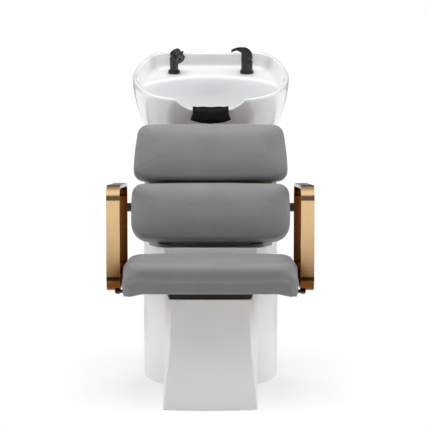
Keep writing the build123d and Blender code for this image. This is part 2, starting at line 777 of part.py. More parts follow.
# Depth below the rim, half width, front and back of each level
outer_levels = ((0, rim_half_width, 0, rim_length), (50, 263, 5, 551), (110, 250, 20, 530),
                (164, 226, 48, 492), (198, 188, 88, 440), (basin_depth, 150, 125, 385))
tray_levels = ((-overrun, rim_half_width - rim_wall, rim_wall, rim_length - rim_wall),
               (deck_depth, 242, 19, 538))
bowl_levels = ((deck_depth - overrun, 240, 20, 420), (100, 236, 31, 406), (150, 216, 56, 386),
               (182, 182, 88, 345), (basin_depth - basin_floor, 135, 122, 292))
pocket_levels = ((deck_depth + deck_thickness, 249, 20, 536), (110, 237, 34, 515),
                 (164, 214, 66, 483))
pocket_half_width = 185
pocket_front = ((434, -deck_depth - deck_thickness), (420, -100), (402, -150), (366, -182),
                (332, -basin_depth - overrun))


def basin_outline(shares, depth, half_width, front, back):
    """A closed smooth outline at one depth below the rim."""
    with BuildSketch(rim_plane.offset(-depth)) as outline:
        right = [(x * half_width, front + v * (back - front)) for x, v in shares]
        left = [(-x, v) for x, v in reversed(right[1:-1])]
        with BuildLine():
            Spline(*right, *left, periodic=True)
        make_face()
    return outline.sketch


def basin_form(shares, levels):
    """A smooth solid through the outlines at several depths."""
    with BuildPart() as form:
        for level in levels:
            add(basin_outline(shares, *level))
        loft()
    return form.part


# Behind the bowl the space under the deck is open, so that the taps can be fitted from below
with BuildPart() as deck_pocket:
    add(basin_form(rim_shares, pocket_levels))
    extrude(basin_outline(rim_shares, *pocket_levels[-1]).face(),
            amount=-(basin_depth - pocket_levels[-1][0] + overrun))
    with BuildSketch(basin_side):
        with BuildLine():
            Polyline(*pocket_front, (rim_length, -basin_depth - overrun),
                     (rim_length, -deck_depth - deck_thickness), close=True)
        make_face()
    extrude(amount=pocket_half_width, both=True, mode=Mode.INTERSECT)

notch_half_width = 113.5
notch_depth = 50
notch_radius = (notch_half_width ** 2 + notch_depth ** 2) / (2 * notch_depth)
notch_reach = 150
notch_lead = 20                 # starts the cut in front of the rim
notch_centre = notch_radius - notch_depth
drain_v = 185
bowl_bolt_x = 50
bowl_bolt_front_v = drain_v - 45
bowl_bolt_rear_v = drain_v + 115
bowl_bolt_places = [(side * bowl_bolt_x, v) for side in (-1, 1)
                    for v in (bowl_bolt_front_v, bowl_bolt_rear_v)]
bowl_bolt_grip = 8
pad_thickness = 4
pad_radius = 15
bracket_thickness = 5
drain_radius = 26
fitting_v = 461
mixer_x = 126.6
sprayer_x = -129.6
deck_hole_radius = 17.5
rim_round = 4
basin_front = Plane(origin=rim_plane.origin, x_dir=(1, 0, 0), z_dir=(0, -tilt_cos, -tilt_sin))

with BuildPart() as bowl:
    add(basin_form(rim_shares, outer_levels))
    add(basin_form(rim_shares, tray_levels), mode=Mode.SUBTRACT)
    add(basin_form(bowl_shares, bowl_levels), mode=Mode.SUBTRACT)
    fillet(bowl.faces().sort_by(rim_axis)[-1].edges(), rim_round)
    add(deck_pocket.part, mode=Mode.SUBTRACT)
    with BuildSketch(basin_front.offset(notch_lead)):
        with Locations((0, notch_centre)):
            Circle(notch_radius)
    extrude(amount=-notch_lead - notch_reach, mode=Mode.SUBTRACT)
    with BuildSketch(rim_plane.offset(-deck_depth + overrun)):
        with Locations((mixer_x, fitting_v), (sprayer_x, fitting_v)):
            Circle(deck_hole_radius)
    extrude(amount=-deck_thickness - 2 * overrun, mode=Mode.SUBTRACT)
    with BuildSketch(rim_plane.offset(-basin_depth - overrun)):
        with Locations((0, drain_v)):
            Circle(drain_radius)
    extrude(amount=basin_floor + 2 * overrun, mode=Mode.SUBTRACT)
    with BuildSketch(rim_plane.offset(-basin_depth)):
        with Locations(*bowl_bolt_places):
            Circle(arm_bolt_radius)
    extrude(amount=bowl_bolt_grip, mode=Mode.SUBTRACT)
finish(bowl.part, "bowl")

# Basin bracket: a plate under the basin with two ears to the hinge pin
pivot_v, pivot_w = basin_frame(pivot_y, pivot_z)
pin_radius = 8
running_clearance = 0.05
ear_radius = 18
bracket_ear_x = 67
bracket_ear_thickness = 10
bracket_half_width = bracket_ear_x + bracket_ear_thickness / 2
bracket_front_v = 112
bracket_rear_v = 325
bracket_top = -basin_depth - pad_thickness
bracket_hole_radius = 42
bush_wall = 2.5
bush_flange = 2
bush_flange_radius = 15

with BuildPart() as bowl_bracket:
    with BuildSketch(rim_plane.offset(bracket_top)):
        with Locations((0, (bracket_front_v + bracket_rear_v) / 2)):
            Rectangle(2 * bracket_half_width, bracket_rear_v - bracket_front_v)
        with Locations((0, drain_v)):
            Circle(bracket_hole_radius, mode=Mode.SUBTRACT)
        with Locations(*bowl_bolt_places):
            Circle(arm_bolt_radius, mode=Mode.SUBTRACT)
    extrude(amount=-bracket_thickness)
    for side in (-1, 1):
        with BuildSketch(basin_side.offset(side * bracket_ear_x)):
            with BuildLine():
                Polyline((pivot_v, pivot_w + ear_radius),
                         (bracket_front_v + bracket_thickness, bracket_top),
                         (bracket_front_v + 3 * ear_radius, bracket_top),
                         (bracket_front_v + 3 * ear_radius, bracket_top - 2 * bracket_thickness),
                         (pivot_v, pivot_w - ear_radius), close=True)
            make_face()
            with Locations((pivot_v, pivot_w)):
                Circle(ear_radius)
                Circle(pin_radius + bush_wall, mode=Mode.SUBTRACT)
        extrude(amount=bracket_ear_thickness / 2, both=True)
finish(bowl_bracket.part, "bowl_bracket")

with BuildPart() as bowl_pads:
    for place in bowl_bolt_places:
        with BuildSketch(rim_plane.offset(-basin_depth)):
            with Locations(place):
                Circle(pad_radius)
                Circle(arm_bolt_radius, mode=Mode.SUBTRACT)
        extrude(amount=-pad_thickness)
finish(bowl_pads.part, "bowl_pads")

with BuildPart() as bowl_bolts:
    for place in bowl_bolt_places:
        with BuildSketch(rim_plane.offset(bracket_top - bracket_thickness)):
            with Locations(place):
                Circle(arm_bolt_radius)
        extrude(amount=bracket_thickness + pad_thickness + bowl_bolt_grip)
        with BuildSketch(rim_plane.offset(bracket_top - bracket_thickness)):
            with Locations(place):
                RegularPolygon(bolt_head_radius, 6)
        extrude(amount=-bolt_head_height)
finish(bowl_bolts.part, "bowl_bolts")

with BuildPart() as hinge_bushes:
    for side in (-1, 1):
        with BuildSketch(Plane.YZ.offset(side * (bracket_ear_x - bracket_ear_thickness / 2))):
            with Locations((pivot_y, pivot_z)):
                Circle(pin_radius + bush_wall)
                Circle(pin_radius + running_clearance, mode=Mode.SUBTRACT)
        extrude(amount=side * bracket_ear_thickness)
        with BuildSketch(Plane.YZ.offset(side * bracket_half_width)):
            with Locations((pivot_y, pivot_z)):
                Circle(bush_flange_radius)
                Circle(pin_radius + running_clearance, mode=Mode.SUBTRACT)
        extrude(amount=side * bush_flange)
finish(hinge_bushes.part, "hinge_bushes")

# Tilt base on the column: a plate with two ears that hold the hinge pin
side_gap = 0.3
base_ear_inner_x = bracket_half_width + bush_flange + side_gap
base_ear_thickness = 8
base_ear_outer_x = base_ear_inner_x + base_ear_thickness
cap_top_z = column_top_z + cap_thickness

with BuildPart() as tilt_base:
    with BuildSketch(Plane.XY.offset(cap_top_z)):
        with Locations((0, rear_post_y)):
            Rectangle(2 * base_ear_outer_x, rear_post_depth)
            with GridLocations(tilt_bolt_spacing_x, tilt_bolt_spacing_y, 2, 2):
                Circle(tilt_bolt_radius, mode=Mode.SUBTRACT)
    extrude(amount=plate_thickness)
    for side in (-1, 1):
        with BuildSketch(Plane.YZ.offset(side * (base_ear_inner_x + base_ear_thickness / 2))):
            with Locations((pivot_y, (cap_top_z + pivot_z) / 2)):
                Rectangle(2 * ear_radius, pivot_z - cap_top_z)
            with Locations((pivot_y, pivot_z)):
                Circle(ear_radius)
                Circle(pin_radius + running_clearance, mode=Mode.SUBTRACT)
        extrude(amount=base_ear_thickness / 2, both=True)
finish(tilt_base.part, "tilt_base")

with BuildPart() as tilt_bolts:
    for plane in [Plane((x, rear_post_y + y, cap_top_z + plate_thickness))
                  for x in (-tilt_bolt_spacing_x / 2, tilt_bolt_spacing_x / 2)
                  for y in (-tilt_bolt_spacing_y / 2, tilt_bolt_spacing_y / 2)]:
        with BuildSketch(plane):
            Circle(tilt_bolt_radius)
        extrude(amount=-plate_thickness - cap_thickness - plate_thickness)
        with BuildSketch(plane):
            RegularPolygon(bolt_head_radius, 6)
        extrude(amount=bolt_head_height)
finish(tilt_bolts.part, "tilt_bolts")

lever_hub_radius = 15
lever_hub_width = 16
pin_nut_width = 9
pin_nut_radius = 13
lever_hub_x = base_ear_outer_x + side_gap
cap_nut_x = lever_hub_x + lever_hub_width + side_gap

with BuildPart() as hinge_pin:
    with BuildSketch(Plane.YZ.offset(-cap_nut_x - pin_nut_width)):
        with Locations((pivot_y, pivot_z)):
            Circle(pin_radius)
    extrude(amount=cap_nut_x + 2 * pin_nut_width + base_ear_outer_x)
finish(hinge_pin.part, "hinge_pin")

with BuildPart() as pin_nuts:
    for nut_x in (-cap_nut_x - pin_nut_width, base_ear_outer_x):
        with BuildSketch(Plane.YZ.offset(nut_x)):
            with Locations((pivot_y, pivot_z)):
                RegularPolygon(pin_nut_radius, 6)
                Circle(pin_radius, mode=Mode.SUBTRACT)
        extrude(amount=pin_nut_width)
finish(pin_nuts.part, "pin_nuts")

lever_reach = 60
lever_bar = 14
grip_radius = 9
grip_length = 88

with BuildPart() as lock_lever:
    with BuildSketch(Plane.YZ.offset(-lever_hub_x - lever_hub_width)):
        with Locations((pivot_y, pivot_z)):
            Circle(lever_hub_radius)
        with Locations((pivot_y - lever_reach / 2, pivot_z)):
            Rectangle(lever_reach, lever_bar)
        with Locations((pivot_y, pivot_z)):
            Circle(pin_radius + running_clearance, mode=Mode.SUBTRACT)
    extrude(amount=lever_hub_width)
    with BuildSketch(Plane.YZ.offset(-lever_hub_x)):
        with Locations((pivot_y - lever_reach, pivot_z)):
            Circle(grip_radius)
    extrude(amount=-grip_length)
finish(lock_lever.part, "lock_lever")

# Rubber stops that the bracket plate meets when the basin lies level
stop_radius = 11
stop_x = 60
stop_y = 239
stop_height = pivot_z + (bracket_top - bracket_thickness - pivot_w) - cap_top_z - side_gap

with BuildPart() as bump_stops:
    with BuildSketch(Plane.XY.offset(cap_top_z)):
        with Locations((-stop_x, stop_y), (stop_x, stop_y)):
            Circle(stop_radius)
    extrude(amount=stop_height)
finish(bump_stops.part, "bump_stops")

# Neck rest: a saddle that turns about the axis of the notch and hangs over the front wall
rest_half_width = 67
rest_half_angle = degrees(asin((rest_half_width + overrun) / notch_radius))
rest_thickness = 13
rest_gap = 0.3
rest_front_v = -13
rest_flange_rear_v = 3.2
rest_inner_front_v = 29.5
rest_inner_rear_v = 38
rest_outer_drop = 32
rest_inner_drop = 24
rest_round = 4
rest_top_w = -notch_depth + rest_thickness
rest_seat_w = -notch_depth + rest_gap
notch_axis = Axis(rim_plane.from_local_coords((0, 0, notch_centre)), basin_side.x_dir)

with BuildPart() as neck_rest:
    with BuildSketch(basin_side) as saddle:
        with BuildLine():
            Polyline((rest_front_v, rest_seat_w - rest_outer_drop), (rest_front_v, rest_top_w),
                     (rest_inner_rear_v, rest_top_w),
                     (rest_inner_rear_v, rest_seat_w - rest_inner_drop),
                     (rest_inner_front_v, rest_seat_w - rest_inner_drop),
                     (rest_inner_front_v, rest_seat_w), (rest_flange_rear_v, rest_seat_w),
                     (rest_flange_rear_v, rest_seat_w - rest_outer_drop), close=True)
        make_face()
        fillet(saddle.vertices().sort_by(Axis.Y)[-2:], rest_round)
    revolve(axis=notch_axis, revolution_arc=rest_half_angle)
    mirror(about=Plane.YZ)
    with BuildSketch(basin_side):
        with Locations((0, -notch_depth)):
            Rectangle(notch_reach, notch_reach)
    extrude(amount=rest_half_width, both=True, mode=Mode.INTERSECT)
finish(neck_rest.part, "neck_rest")

# Drain: a flange with a threaded tube, clamped through the basin floor between two seals
flange_radius = 34
flange_thickness = 3
seal_thickness = 1.5
lower_seal_thickness = 3
drain_tube_radius = 22
drain_bore_radius = 19.5
drain_tube_end = basin_depth + 30
seal_radius = 32
drain_nut_radius = 35
drain_nut_height = 11
floor_top = -basin_depth + basin_floor
ledge_bore_radius = 16
ledge_drop = 8
ledge_thickness = 2

with BuildPart() as drain_flange:
    with BuildSketch(rim_plane.offset(floor_top + seal_thickness)):
        with Locations((0, drain_v)):
            Circle(flange_radius)
            Circle(drain_bore_radius, mode=Mode.SUBTRACT)
    extrude(amount=flange_thickness)
    fillet(drain_flange.faces().sort_by(rim_axis)[-1].edges().sort_by(SortBy.LENGTH)[-1:],
           seal_thickness)
    with BuildSketch(rim_plane.offset(-drain_tube_end)):
        with Locations((0, drain_v)):
            Circle(drain_tube_radius)
            Circle(drain_bore_radius, mode=Mode.SUBTRACT)
    extrude(amount=drain_tube_end + floor_top + seal_thickness)
    with BuildSketch(rim_plane.offset(floor_top - ledge_drop)):
        with Locations((0, drain_v)):
            Circle(drain_tube_radius)
            Circle(ledge_bore_radius, mode=Mode.SUBTRACT)
    extrude(amount=ledge_thickness)
finish(drain_flange.part, "drain_flange")

with BuildPart() as drain_seals:
    for plane_w, thickness in ((floor_top, seal_thickness),
                               (-basin_depth - lower_seal_thickness, lower_seal_thickness)):
        with BuildSketch(rim_plane.offset(plane_w)):
            with Locations((0, drain_v)):
                Circle(seal_radius)
                Circle(drain_tube_radius, mode=Mode.SUBTRACT)
        extrude(amount=thickness)
finish(drain_seals.part, "drain_seals")

drain_nut_top = -basin_depth - lower_seal_thickness

with BuildPart() as drain_nut:
    with BuildSketch(rim_plane.offset(drain_nut_top)):
        with Locations((0, drain_v)):
            RegularPolygon(drain_nut_radius, 8)
            Circle(drain_tube_radius, mode=Mode.SUBTRACT)
    extrude(amount=-drain_nut_height)
finish(drain_nut.part, "drain_nut")

tail_cup_radius = 26
tail_spout_radius = 16
tail_cup_end = drain_tube_end + 6
tail_wall = 2.5
tail_spout_length = 26

with BuildPart() as drain_tail:
    with BuildSketch(rim_plane.offset(drain_nut_top - drain_nut_height)):
        with Locations((0, drain_v)):
            Circle(tail_cup_radius)
    extrude(amount=-(tail_cup_end + drain_nut_top - drain_nut_height))
    with BuildSketch(rim_plane.offset(-tail_cup_end)):
        with Locations((0, drain_v)):
            Circle(tail_spout_radius)
    extrude(amount=-tail_spout_length)
    with BuildSketch(rim_plane.offset(drain_nut_top - drain_nut_height)):
        with Locations((0, drain_v)):
            Circle(drain_tube_radius)
    extrude(amount=-(drain_tube_end + drain_nut_top - drain_nut_height), mode=Mode.SUBTRACT)
    with BuildSketch(rim_plane.offset(drain_nut_top - drain_nut_height)):
        with Locations((0, drain_v)):
            Circle(tail_spout_radius - tail_wall)
    extrude(amount=-(tail_cup_end + drain_nut_top - drain_nut_height) - tail_spout_length,
            mode=Mode.SUBTRACT)
finish(drain_tail.part, "drain_tail")

strainer_clearance = 0.3
strainer_thickness = 2
strainer_hole_radius = 2
strainer_ring_radius = 12
strainer_knob_radius = 4
strainer_knob_height = 8
strainer_bottom = floor_top - ledge_drop + ledge_thickness

with BuildPart() as strainer:
    with BuildSketch(rim_plane.offset(strainer_bottom)):
        with Locations((0, drain_v)):
            Circle(drain_bore_radius - strainer_clearance)
            with PolarLocations(strainer_ring_radius, 10):
                Circle(strainer_hole_radius, mode=Mode.SUBTRACT)
    extrude(amount=strainer_thickness)
    with BuildSketch(rim_plane.offset(strainer_bottom)):
        with Locations((0, drain_v)):
            Circle(strainer_knob_radius)
    extrude(amount=strainer_knob_height)
finish(strainer.part, "strainer")

# Mixer tap: ring, body with a shank through the deck, cartridge, ball and loop lever
mixer_radius = 20
mixer_ring_radius = 24.2
fitting_ring_height = 9
fitting_ring_round = 3
mixer_height = 44               # from the deck to the centre of the ball
dome_radius = 16
dome_wall = 3
shank_radius = 15
shank_length = 40
cartridge_radius = 13
cartridge_low = 12
cartridge_high = 40
ball_radius = 8
lever_stem_radius = 4
lever_lift = 20                 # degrees
deck = rim_plane.offset(-deck_depth)
mixer_axis_plane = Plane(origin=deck.from_local_coords((mixer_x, fitting_v, 0)),
                         x_dir=(1, 0, 0), z_dir=rim_plane.z_dir)
mixer_ball_point = mixer_axis_plane.from_local_coords((0, 0, mixer_height))
mixer_front = Plane(origin=mixer_axis_plane.origin, x_dir=(1, 0, 0), z_dir=-rim_plane.y_dir)

with BuildPart() as mixer_ring:
    with BuildSketch(mixer_axis_plane):
        Circle(mixer_ring_radius)
        Circle(mixer_radius, mode=Mode.SUBTRACT)
    extrude(amount=fitting_ring_height)
    fillet(mixer_ring.faces().sort_by(rim_axis)[-1].edges().sort_by(SortBy.LENGTH)[-1:],
           fitting_ring_round)
finish(mixer_ring.part, "mixer_ring")

with BuildPart() as mixer_body:
    with BuildSketch(mixer_front):
        with BuildLine():
            Line((0, -shank_length), (shank_radius, -shank_length))
            Line((shank_radius, -shank_length), (shank_radius, 0))
            Line((shank_radius, 0), (mixer_radius, 0))
            Line((mixer_radius, 0), (mixer_radius, mixer_height))
            Line((mixer_radius, mixer_height), (dome_radius, mixer_height))
            ThreePointArc((dome_radius, mixer_height),
                          (dome_radius * cos(radians(45)),
                           mixer_height + dome_radius * sin(radians(45))),
                          (0, mixer_height + dome_radius))
            Line((0, mixer_height + dome_radius), (0, -shank_length))
        make_face()
    revolve(axis=Axis(mixer_axis_plane.origin, mixer_axis_plane.z_dir))
    with BuildSketch(mixer_axis_plane.offset(cartridge_low)):
        Circle(cartridge_radius)
    extrude(amount=mixer_height - cartridge_low, mode=Mode.SUBTRACT)
    with BuildSketch(mixer_front):
        with BuildLine():
            Line((0, mixer_height), (cartridge_radius, mixer_height))
            ThreePointArc((cartridge_radius, mixer_height),
                          (cartridge_radius * cos(radians(45)),
                           mixer_height + cartridge_radius * sin(radians(45))),
                          (0, mixer_height + cartridge_radius))
            Line((0, mixer_height + cartridge_radius), (0, mixer_height))
        make_face()
    revolve(axis=Axis(mixer_axis_plane.origin, mixer_axis_plane.z_dir), mode=Mode.SUBTRACT)
    with BuildSketch(mixer_axis_plane.offset(mixer_height)):
        Circle(dome_radius * sin(radians(lever_lift)) + lever_stem_radius + 2 * side_gap)
    extrude(amount=dome_radius + overrun, mode=Mode.SUBTRACT)
finish(mixer_body.part, "mixer_body")

with BuildPart() as cartridge:
    with BuildSketch(mixer_axis_plane.offset(cartridge_low)):
        Circle(cartridge_radius)
    extrude(amount=cartridge_high - cartridge_low)
    with Locations(mixer_ball_point):
        Sphere(ball_radius + running_clearance, mode=Mode.SUBTRACT)
finish(cartridge.part, "cartridge")

with BuildPart() as mixer_ball:
    with Locations(mixer_ball_point):
        Sphere(ball_radius)
finish(mixer_ball.part, "mixer_ball")

inlet_radius = 4
inlet_wall = 1
inlet_x = 6
inlet_length = 30

with BuildPart() as inlet_stubs:
    with BuildSketch(mixer_axis_plane.offset(-shank_length)):
        with Locations((-inlet_x, 0), (inlet_x, 0)):
            Circle(inlet_radius)
            Circle(inlet_radius - inlet_wall, mode=Mode.SUBTRACT)
    extrude(amount=-inlet_length)
finish(inlet_stubs.part, "inlet_stubs")

lever_half_depth = 12
loop_inner_x = -27
loop_outer_x = -47
loop_half_width = 6
lever_low = mixer_height + side_gap
lever_cut_high = lever_low + mixer_radius * tan(radians(lever_lift))
lever_crest = ((-55.6, 79), (-30, 89), (-6, 87), (14, 74), (mixer_radius, 57))
lever_belly = ((-mixer_radius, 73), (-30, 81), (-53.6, 76))
lever_reach_x = lever_crest[0][0]
lever_clear_z = lever_crest[1][1] + overrun

with BuildPart() as mixer_lever:
    with BuildSketch(mixer_front):
        with BuildLine():
            Spline(*lever_crest)
            Polyline(lever_crest[-1], (mixer_radius, lever_cut_high), (0, lever_low),
                     (-mixer_radius, lever_low), lever_belly[0])
            Spline(*lever_belly)
            Line(lever_belly[-1], lever_crest[0])
        make_face()
    extrude(amount=mixer_radius, both=True)
    with BuildSketch(mixer_axis_plane):
        Circle(mixer_radius)
        with Locations((lever_reach_x / 2, 0)):
            SlotOverall(-lever_reach_x + 2 * lever_half_depth, 2 * lever_half_depth)
    extrude(amount=lever_clear_z, mode=Mode.INTERSECT)
    with BuildSketch(mixer_axis_plane):
        with Locations(((loop_inner_x + loop_outer_x) / 2, 0)):
            SlotOverall(loop_inner_x - loop_outer_x, 2 * loop_half_width)
    extrude(amount=lever_clear_z, mode=Mode.SUBTRACT)
    with Locations(mixer_ball_point):
        Sphere(dome_radius + side_gap, mode=Mode.SUBTRACT)
    with BuildSketch(mixer_axis_plane.offset(mixer_height)):
        Circle(lever_stem_radius)
    extrude(amount=dome_radius + overrun)
    with Locations(mixer_ball_point):
        Sphere(ball_radius + sheet_gap, mode=Mode.SUBTRACT)
finish(mixer_lever.part, "mixer_lever")

# Sprayer: ring and guide bush in the deck, a stem with a drum head, face and button
stem_radius = 15
sprayer_ring_radius = 21
bush_outer_radius = 17.3
bush_length = 40
deck_nut_radius = 24
deck_nut_height = 9
sprayer_plane = Plane(origin=deck.from_local_coords((sprayer_x, fitting_v, 0)),
                      x_dir=(1, 0, 0), z_dir=rim_plane.z_dir)

with BuildPart() as sprayer_ring:
    with BuildSketch(sprayer_plane):
        Circle(sprayer_ring_radius)
        Circle(stem_radius + 2 * side_gap, mode=Mode.SUBTRACT)
    extrude(amount=fitting_ring_height)
    fillet(sprayer_ring.faces().sort_by(rim_axis)[-1].edges().sort_by(SortBy.LENGTH)[-1:],
           fitting_ring_round)
finish(sprayer_ring.part, "sprayer_ring")

with BuildPart() as sprayer_bush:
    with BuildSketch(sprayer_plane):
        Circle(bush_outer_radius)
        Circle(stem_radius + running_clearance, mode=Mode.SUBTRACT)
    extrude(amount=-bush_length)
finish(sprayer_bush.part, "sprayer_bush")

with BuildPart() as deck_nuts:
    for plane, bore in ((mixer_axis_plane, shank_radius), (sprayer_plane, bush_outer_radius)):
        with BuildSketch(plane.offset(-deck_thickness)):
            RegularPolygon(deck_nut_radius, 6)
            Circle(bore, mode=Mode.SUBTRACT)
        extrude(amount=-deck_nut_height)
finish(deck_nuts.part, "deck_nuts")

stem_top_round = 9
head_x = 12
head_height = 60
head_radius = 20.5
head_length = 36
head_direction = (0.5, -0.55, -0.67)
button_direction = (0.788, -0.031, 0.613)
face_radius = 17.5
face_recess = 4
face_thickness = 3
face_clearance = 0.1
button_radius = 3.5
button_low = 14
button_high = 26.5
button_travel = 2.5
water_radius = 5
connector_radius = 9
connector_length = 24
head_point = sprayer_plane.from_local_coords((head_x, 0, head_height))
head_plane = Plane(origin=head_point, z_dir=head_direction)
button_plane = Plane(origin=head_point, z_dir=button_direction)

with BuildPart() as sprayer_body:
    with BuildSketch(sprayer_plane.offset(-bush_length)):
        Circle(stem_radius)
    extrude(amount=bush_length + head_height)
    fillet(sprayer_body.edges().sort_by(rim_axis)[-1:], stem_top_round)
    with BuildSketch(head_plane.offset(-head_length / 2)):
        Circle(head_radius)
    extrude(amount=head_length)
    with BuildSketch(sprayer_plane.offset(-bush_length)):
        Circle(connector_radius)
    extrude(amount=-connector_length)
    with BuildSketch(sprayer_plane.offset(-bush_length - connector_length)):
        Circle(water_radius)
    extrude(amount=bush_length + connector_length + head_height, mode=Mode.SUBTRACT)
    with BuildSketch(head_plane.offset(head_length / 2 - face_recess)):
        Circle(face_radius)
    extrude(amount=face_recess + overrun, mode=Mode.SUBTRACT)
    with BuildSketch(button_plane.offset(button_low - button_travel - side_gap)):
        Circle(button_radius + running_clearance)
    extrude(amount=button_high, mode=Mode.SUBTRACT)
finish(sprayer_body.part, "sprayer_body")

with BuildPart() as sprayer_face:
    with BuildSketch(head_plane.offset(head_length / 2 - face_recess)):
        Circle(face_radius - face_clearance)
        Circle(water_radius, mode=Mode.SUBTRACT)
    extrude(amount=face_thickness)
finish(sprayer_face.part, "sprayer_face")

with BuildPart() as sprayer_button:
    with BuildSketch(button_plane.offset(button_low)):
        Circle(button_radius)
    extrude(amount=button_high - button_low)
finish(sprayer_button.part, "sprayer_button")
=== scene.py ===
# %% [markdown]
# A salon backwash unit: a grey seat with two gold arm loops, joined to a white column that carries
# a tilting white basin. The CAD parts stand in the scene already. This script gives them their
# finishes, and makes new meshes for whatever is soft, cast or glazed, because such shapes are
# easier to reach with meshes than with solids.

import json
import math

import bmesh
import bpy
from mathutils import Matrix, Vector


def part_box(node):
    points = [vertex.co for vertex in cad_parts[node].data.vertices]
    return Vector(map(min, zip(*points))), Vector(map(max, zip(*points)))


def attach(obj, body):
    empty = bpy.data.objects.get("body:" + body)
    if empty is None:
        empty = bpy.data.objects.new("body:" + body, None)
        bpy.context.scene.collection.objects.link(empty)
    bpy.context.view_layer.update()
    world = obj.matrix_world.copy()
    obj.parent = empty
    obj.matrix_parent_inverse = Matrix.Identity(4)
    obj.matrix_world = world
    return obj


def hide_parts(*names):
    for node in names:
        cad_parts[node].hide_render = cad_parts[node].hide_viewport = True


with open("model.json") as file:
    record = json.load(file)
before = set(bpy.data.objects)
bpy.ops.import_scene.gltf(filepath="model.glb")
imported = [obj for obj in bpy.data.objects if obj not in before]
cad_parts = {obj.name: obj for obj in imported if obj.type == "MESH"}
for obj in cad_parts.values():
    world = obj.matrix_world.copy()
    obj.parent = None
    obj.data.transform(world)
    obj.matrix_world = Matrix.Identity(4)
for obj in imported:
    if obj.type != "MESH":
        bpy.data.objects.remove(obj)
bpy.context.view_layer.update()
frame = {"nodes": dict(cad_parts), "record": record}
NODES = frame["nodes"]

# %% [markdown]
# The photograph is taken from the front with a long lens, at about the height of the basin. A long
# lens keeps the sides of the column parallel. The camera looks a little down. Its place was found by
# comparing the edges of the seat, the arms and the basin with the photograph.

# %% Camera
CAMERA_PLACE = (0.011, -6.26, 1.039)
LOOK_DOWN = 4.629  # degrees
LENS = 160  # millimetres
SENSOR_WIDTH = 36  # millimetres

camera_data = bpy.data.cameras.new("camera")
camera_data.lens = LENS
camera_data.sensor_width = SENSOR_WIDTH
camera = bpy.data.objects.new("camera", camera_data)
camera.location = CAMERA_PLACE
camera.rotation_euler = (math.radians(90 - LOOK_DOWN), 0, 0)
bpy.context.scene.collection.objects.link(camera)
bpy.context.scene.camera = camera
bpy.context.scene.view_settings.view_transform = "Standard"
print("camera at", CAMERA_PLACE, "with a lens of", LENS, "mm")

# %% [markdown]
# The studio is white, with soft light from above and from the sides, and less from the front. So tops
# and flanks are lighter than fronts, as in the photograph. A world picture could do this, but ramps
# on the direction need no image and are easy to change.

# %% Helpers for the world
world = bpy.data.worlds.new("studio")
bpy.context.scene.world = world
world.use_nodes = True
world_tree = world.node_tree
world_tree.nodes.clear()


def world_node(kind, **sockets):
    """A node of the world's tree with its sockets set."""
    node = world_tree.nodes.new(kind)
    for name, value in sockets.items():
        node.inputs[name].default_value = value
    return node


def grey_ramp(tree, value, stops):
    """Greys that change with a value. Each stop is a place from 0 to 1 and a brightness."""
    ramp = tree.nodes.new("ShaderNodeValToRGB")
    for place, grey in stops[1:-1]:
        ramp.color_ramp.elements.new(place)
    for element, (place, grey) in zip(ramp.color_ramp.elements, stops):
        element.color = (grey, grey, grey, 1)
    tree.links.new(value, ramp.inputs["Fac"])
    return ramp.outputs["Color"]


# %% [markdown]
# Shiny surfaces see another world than the one that lights the object. Its horizon is bright, the
# wall above that is dark and the ceiling is bright, which gives the bent corners of the metal their
# dark bands. Behind the object the wall is darker still.

# %% What lights the object and what it reflects
FILL_STRENGTH = 0.62
FILL_STOPS = ((0.0, 0.3), (0.25, 0.42), (0.5, 0.95), (1.0, 1.0))  # from the front to the back
CEILING_STOPS = ((0.0, 0.95), (0.03, 0.9), (0.08, 0.12), (0.62, 0.14), (0.74, 0.95), (1.0, 1.0))
WALL_STOPS = ((0.0, 1.0), (0.35, 1.0), (0.5, 0.75), (0.65, 0.4), (1.0, 0.35))  # front to back

sky = world_node("ShaderNodeTexCoord")
axes = world_node("ShaderNodeSeparateXYZ")
world_tree.links.new(sky.outputs["Generated"], axes.inputs[0])
backness = world_node("ShaderNodeMapRange")
backness.inputs["From Min"].default_value = -1
world_tree.links.new(axes.outputs["Y"], backness.inputs["Value"])

fill_light = world_node("ShaderNodeBackground", Strength=FILL_STRENGTH)
world_tree.links.new(grey_ramp(world_tree, backness.outputs["Result"], FILL_STOPS),
                     fill_light.inputs["Color"])
wall = world_tree.nodes.new("ShaderNodeMix")
wall.data_type = "RGBA"
wall.blend_type = "MULTIPLY"
wall.inputs["Factor"].default_value = 1.0
world_tree.links.new(grey_ramp(world_tree, axes.outputs["Z"], CEILING_STOPS), wall.inputs["A"])
world_tree.links.new(grey_ramp(world_tree, backness.outputs["Result"], WALL_STOPS),
                     wall.inputs["B"])
seen_by_gloss = world_node("ShaderNodeBackground", Strength=1.0)
world_tree.links.new(wall.outputs["Result"], seen_by_gloss.inputs["Color"])
print("world: fill", FILL_STRENGTH, "and", len(CEILING_STOPS), "stops for reflections")

# %% [markdown]
# The kind of ray chooses between them. Light Path tells a ray of the camera, which sees plain white,
# from a glossy ray and from all the others.

# %% Choice by the kind of ray
ray = world_node("ShaderNodeLightPath")
seen_by_camera = world_node("ShaderNodeBackground", Color=(1, 1, 1, 1), Strength=1.0)
world_gloss = world_node("ShaderNodeMixShader")
world_tree.links.new(ray.outputs["Is Glossy Ray"], world_gloss.inputs[0])
world_tree.links.new(fill_light.outputs[0], world_gloss.inputs[1])
world_tree.links.new(seen_by_gloss.outputs[0], world_gloss.inputs[2])
world_choice = world_node("ShaderNodeMixShader")
world_tree.links.new(ray.outputs["Is Camera Ray"], world_choice.inputs[0])
world_tree.links.new(world_gloss.outputs[0], world_choice.inputs[1])
world_tree.links.new(seen_by_camera.outputs[0], world_choice.inputs[2])
world_out = world_node("ShaderNodeOutputWorld")
world_tree.links.new(world_choice.outputs[0], world_out.inputs["Surface"])
print("world nodes:", len(world_tree.nodes))

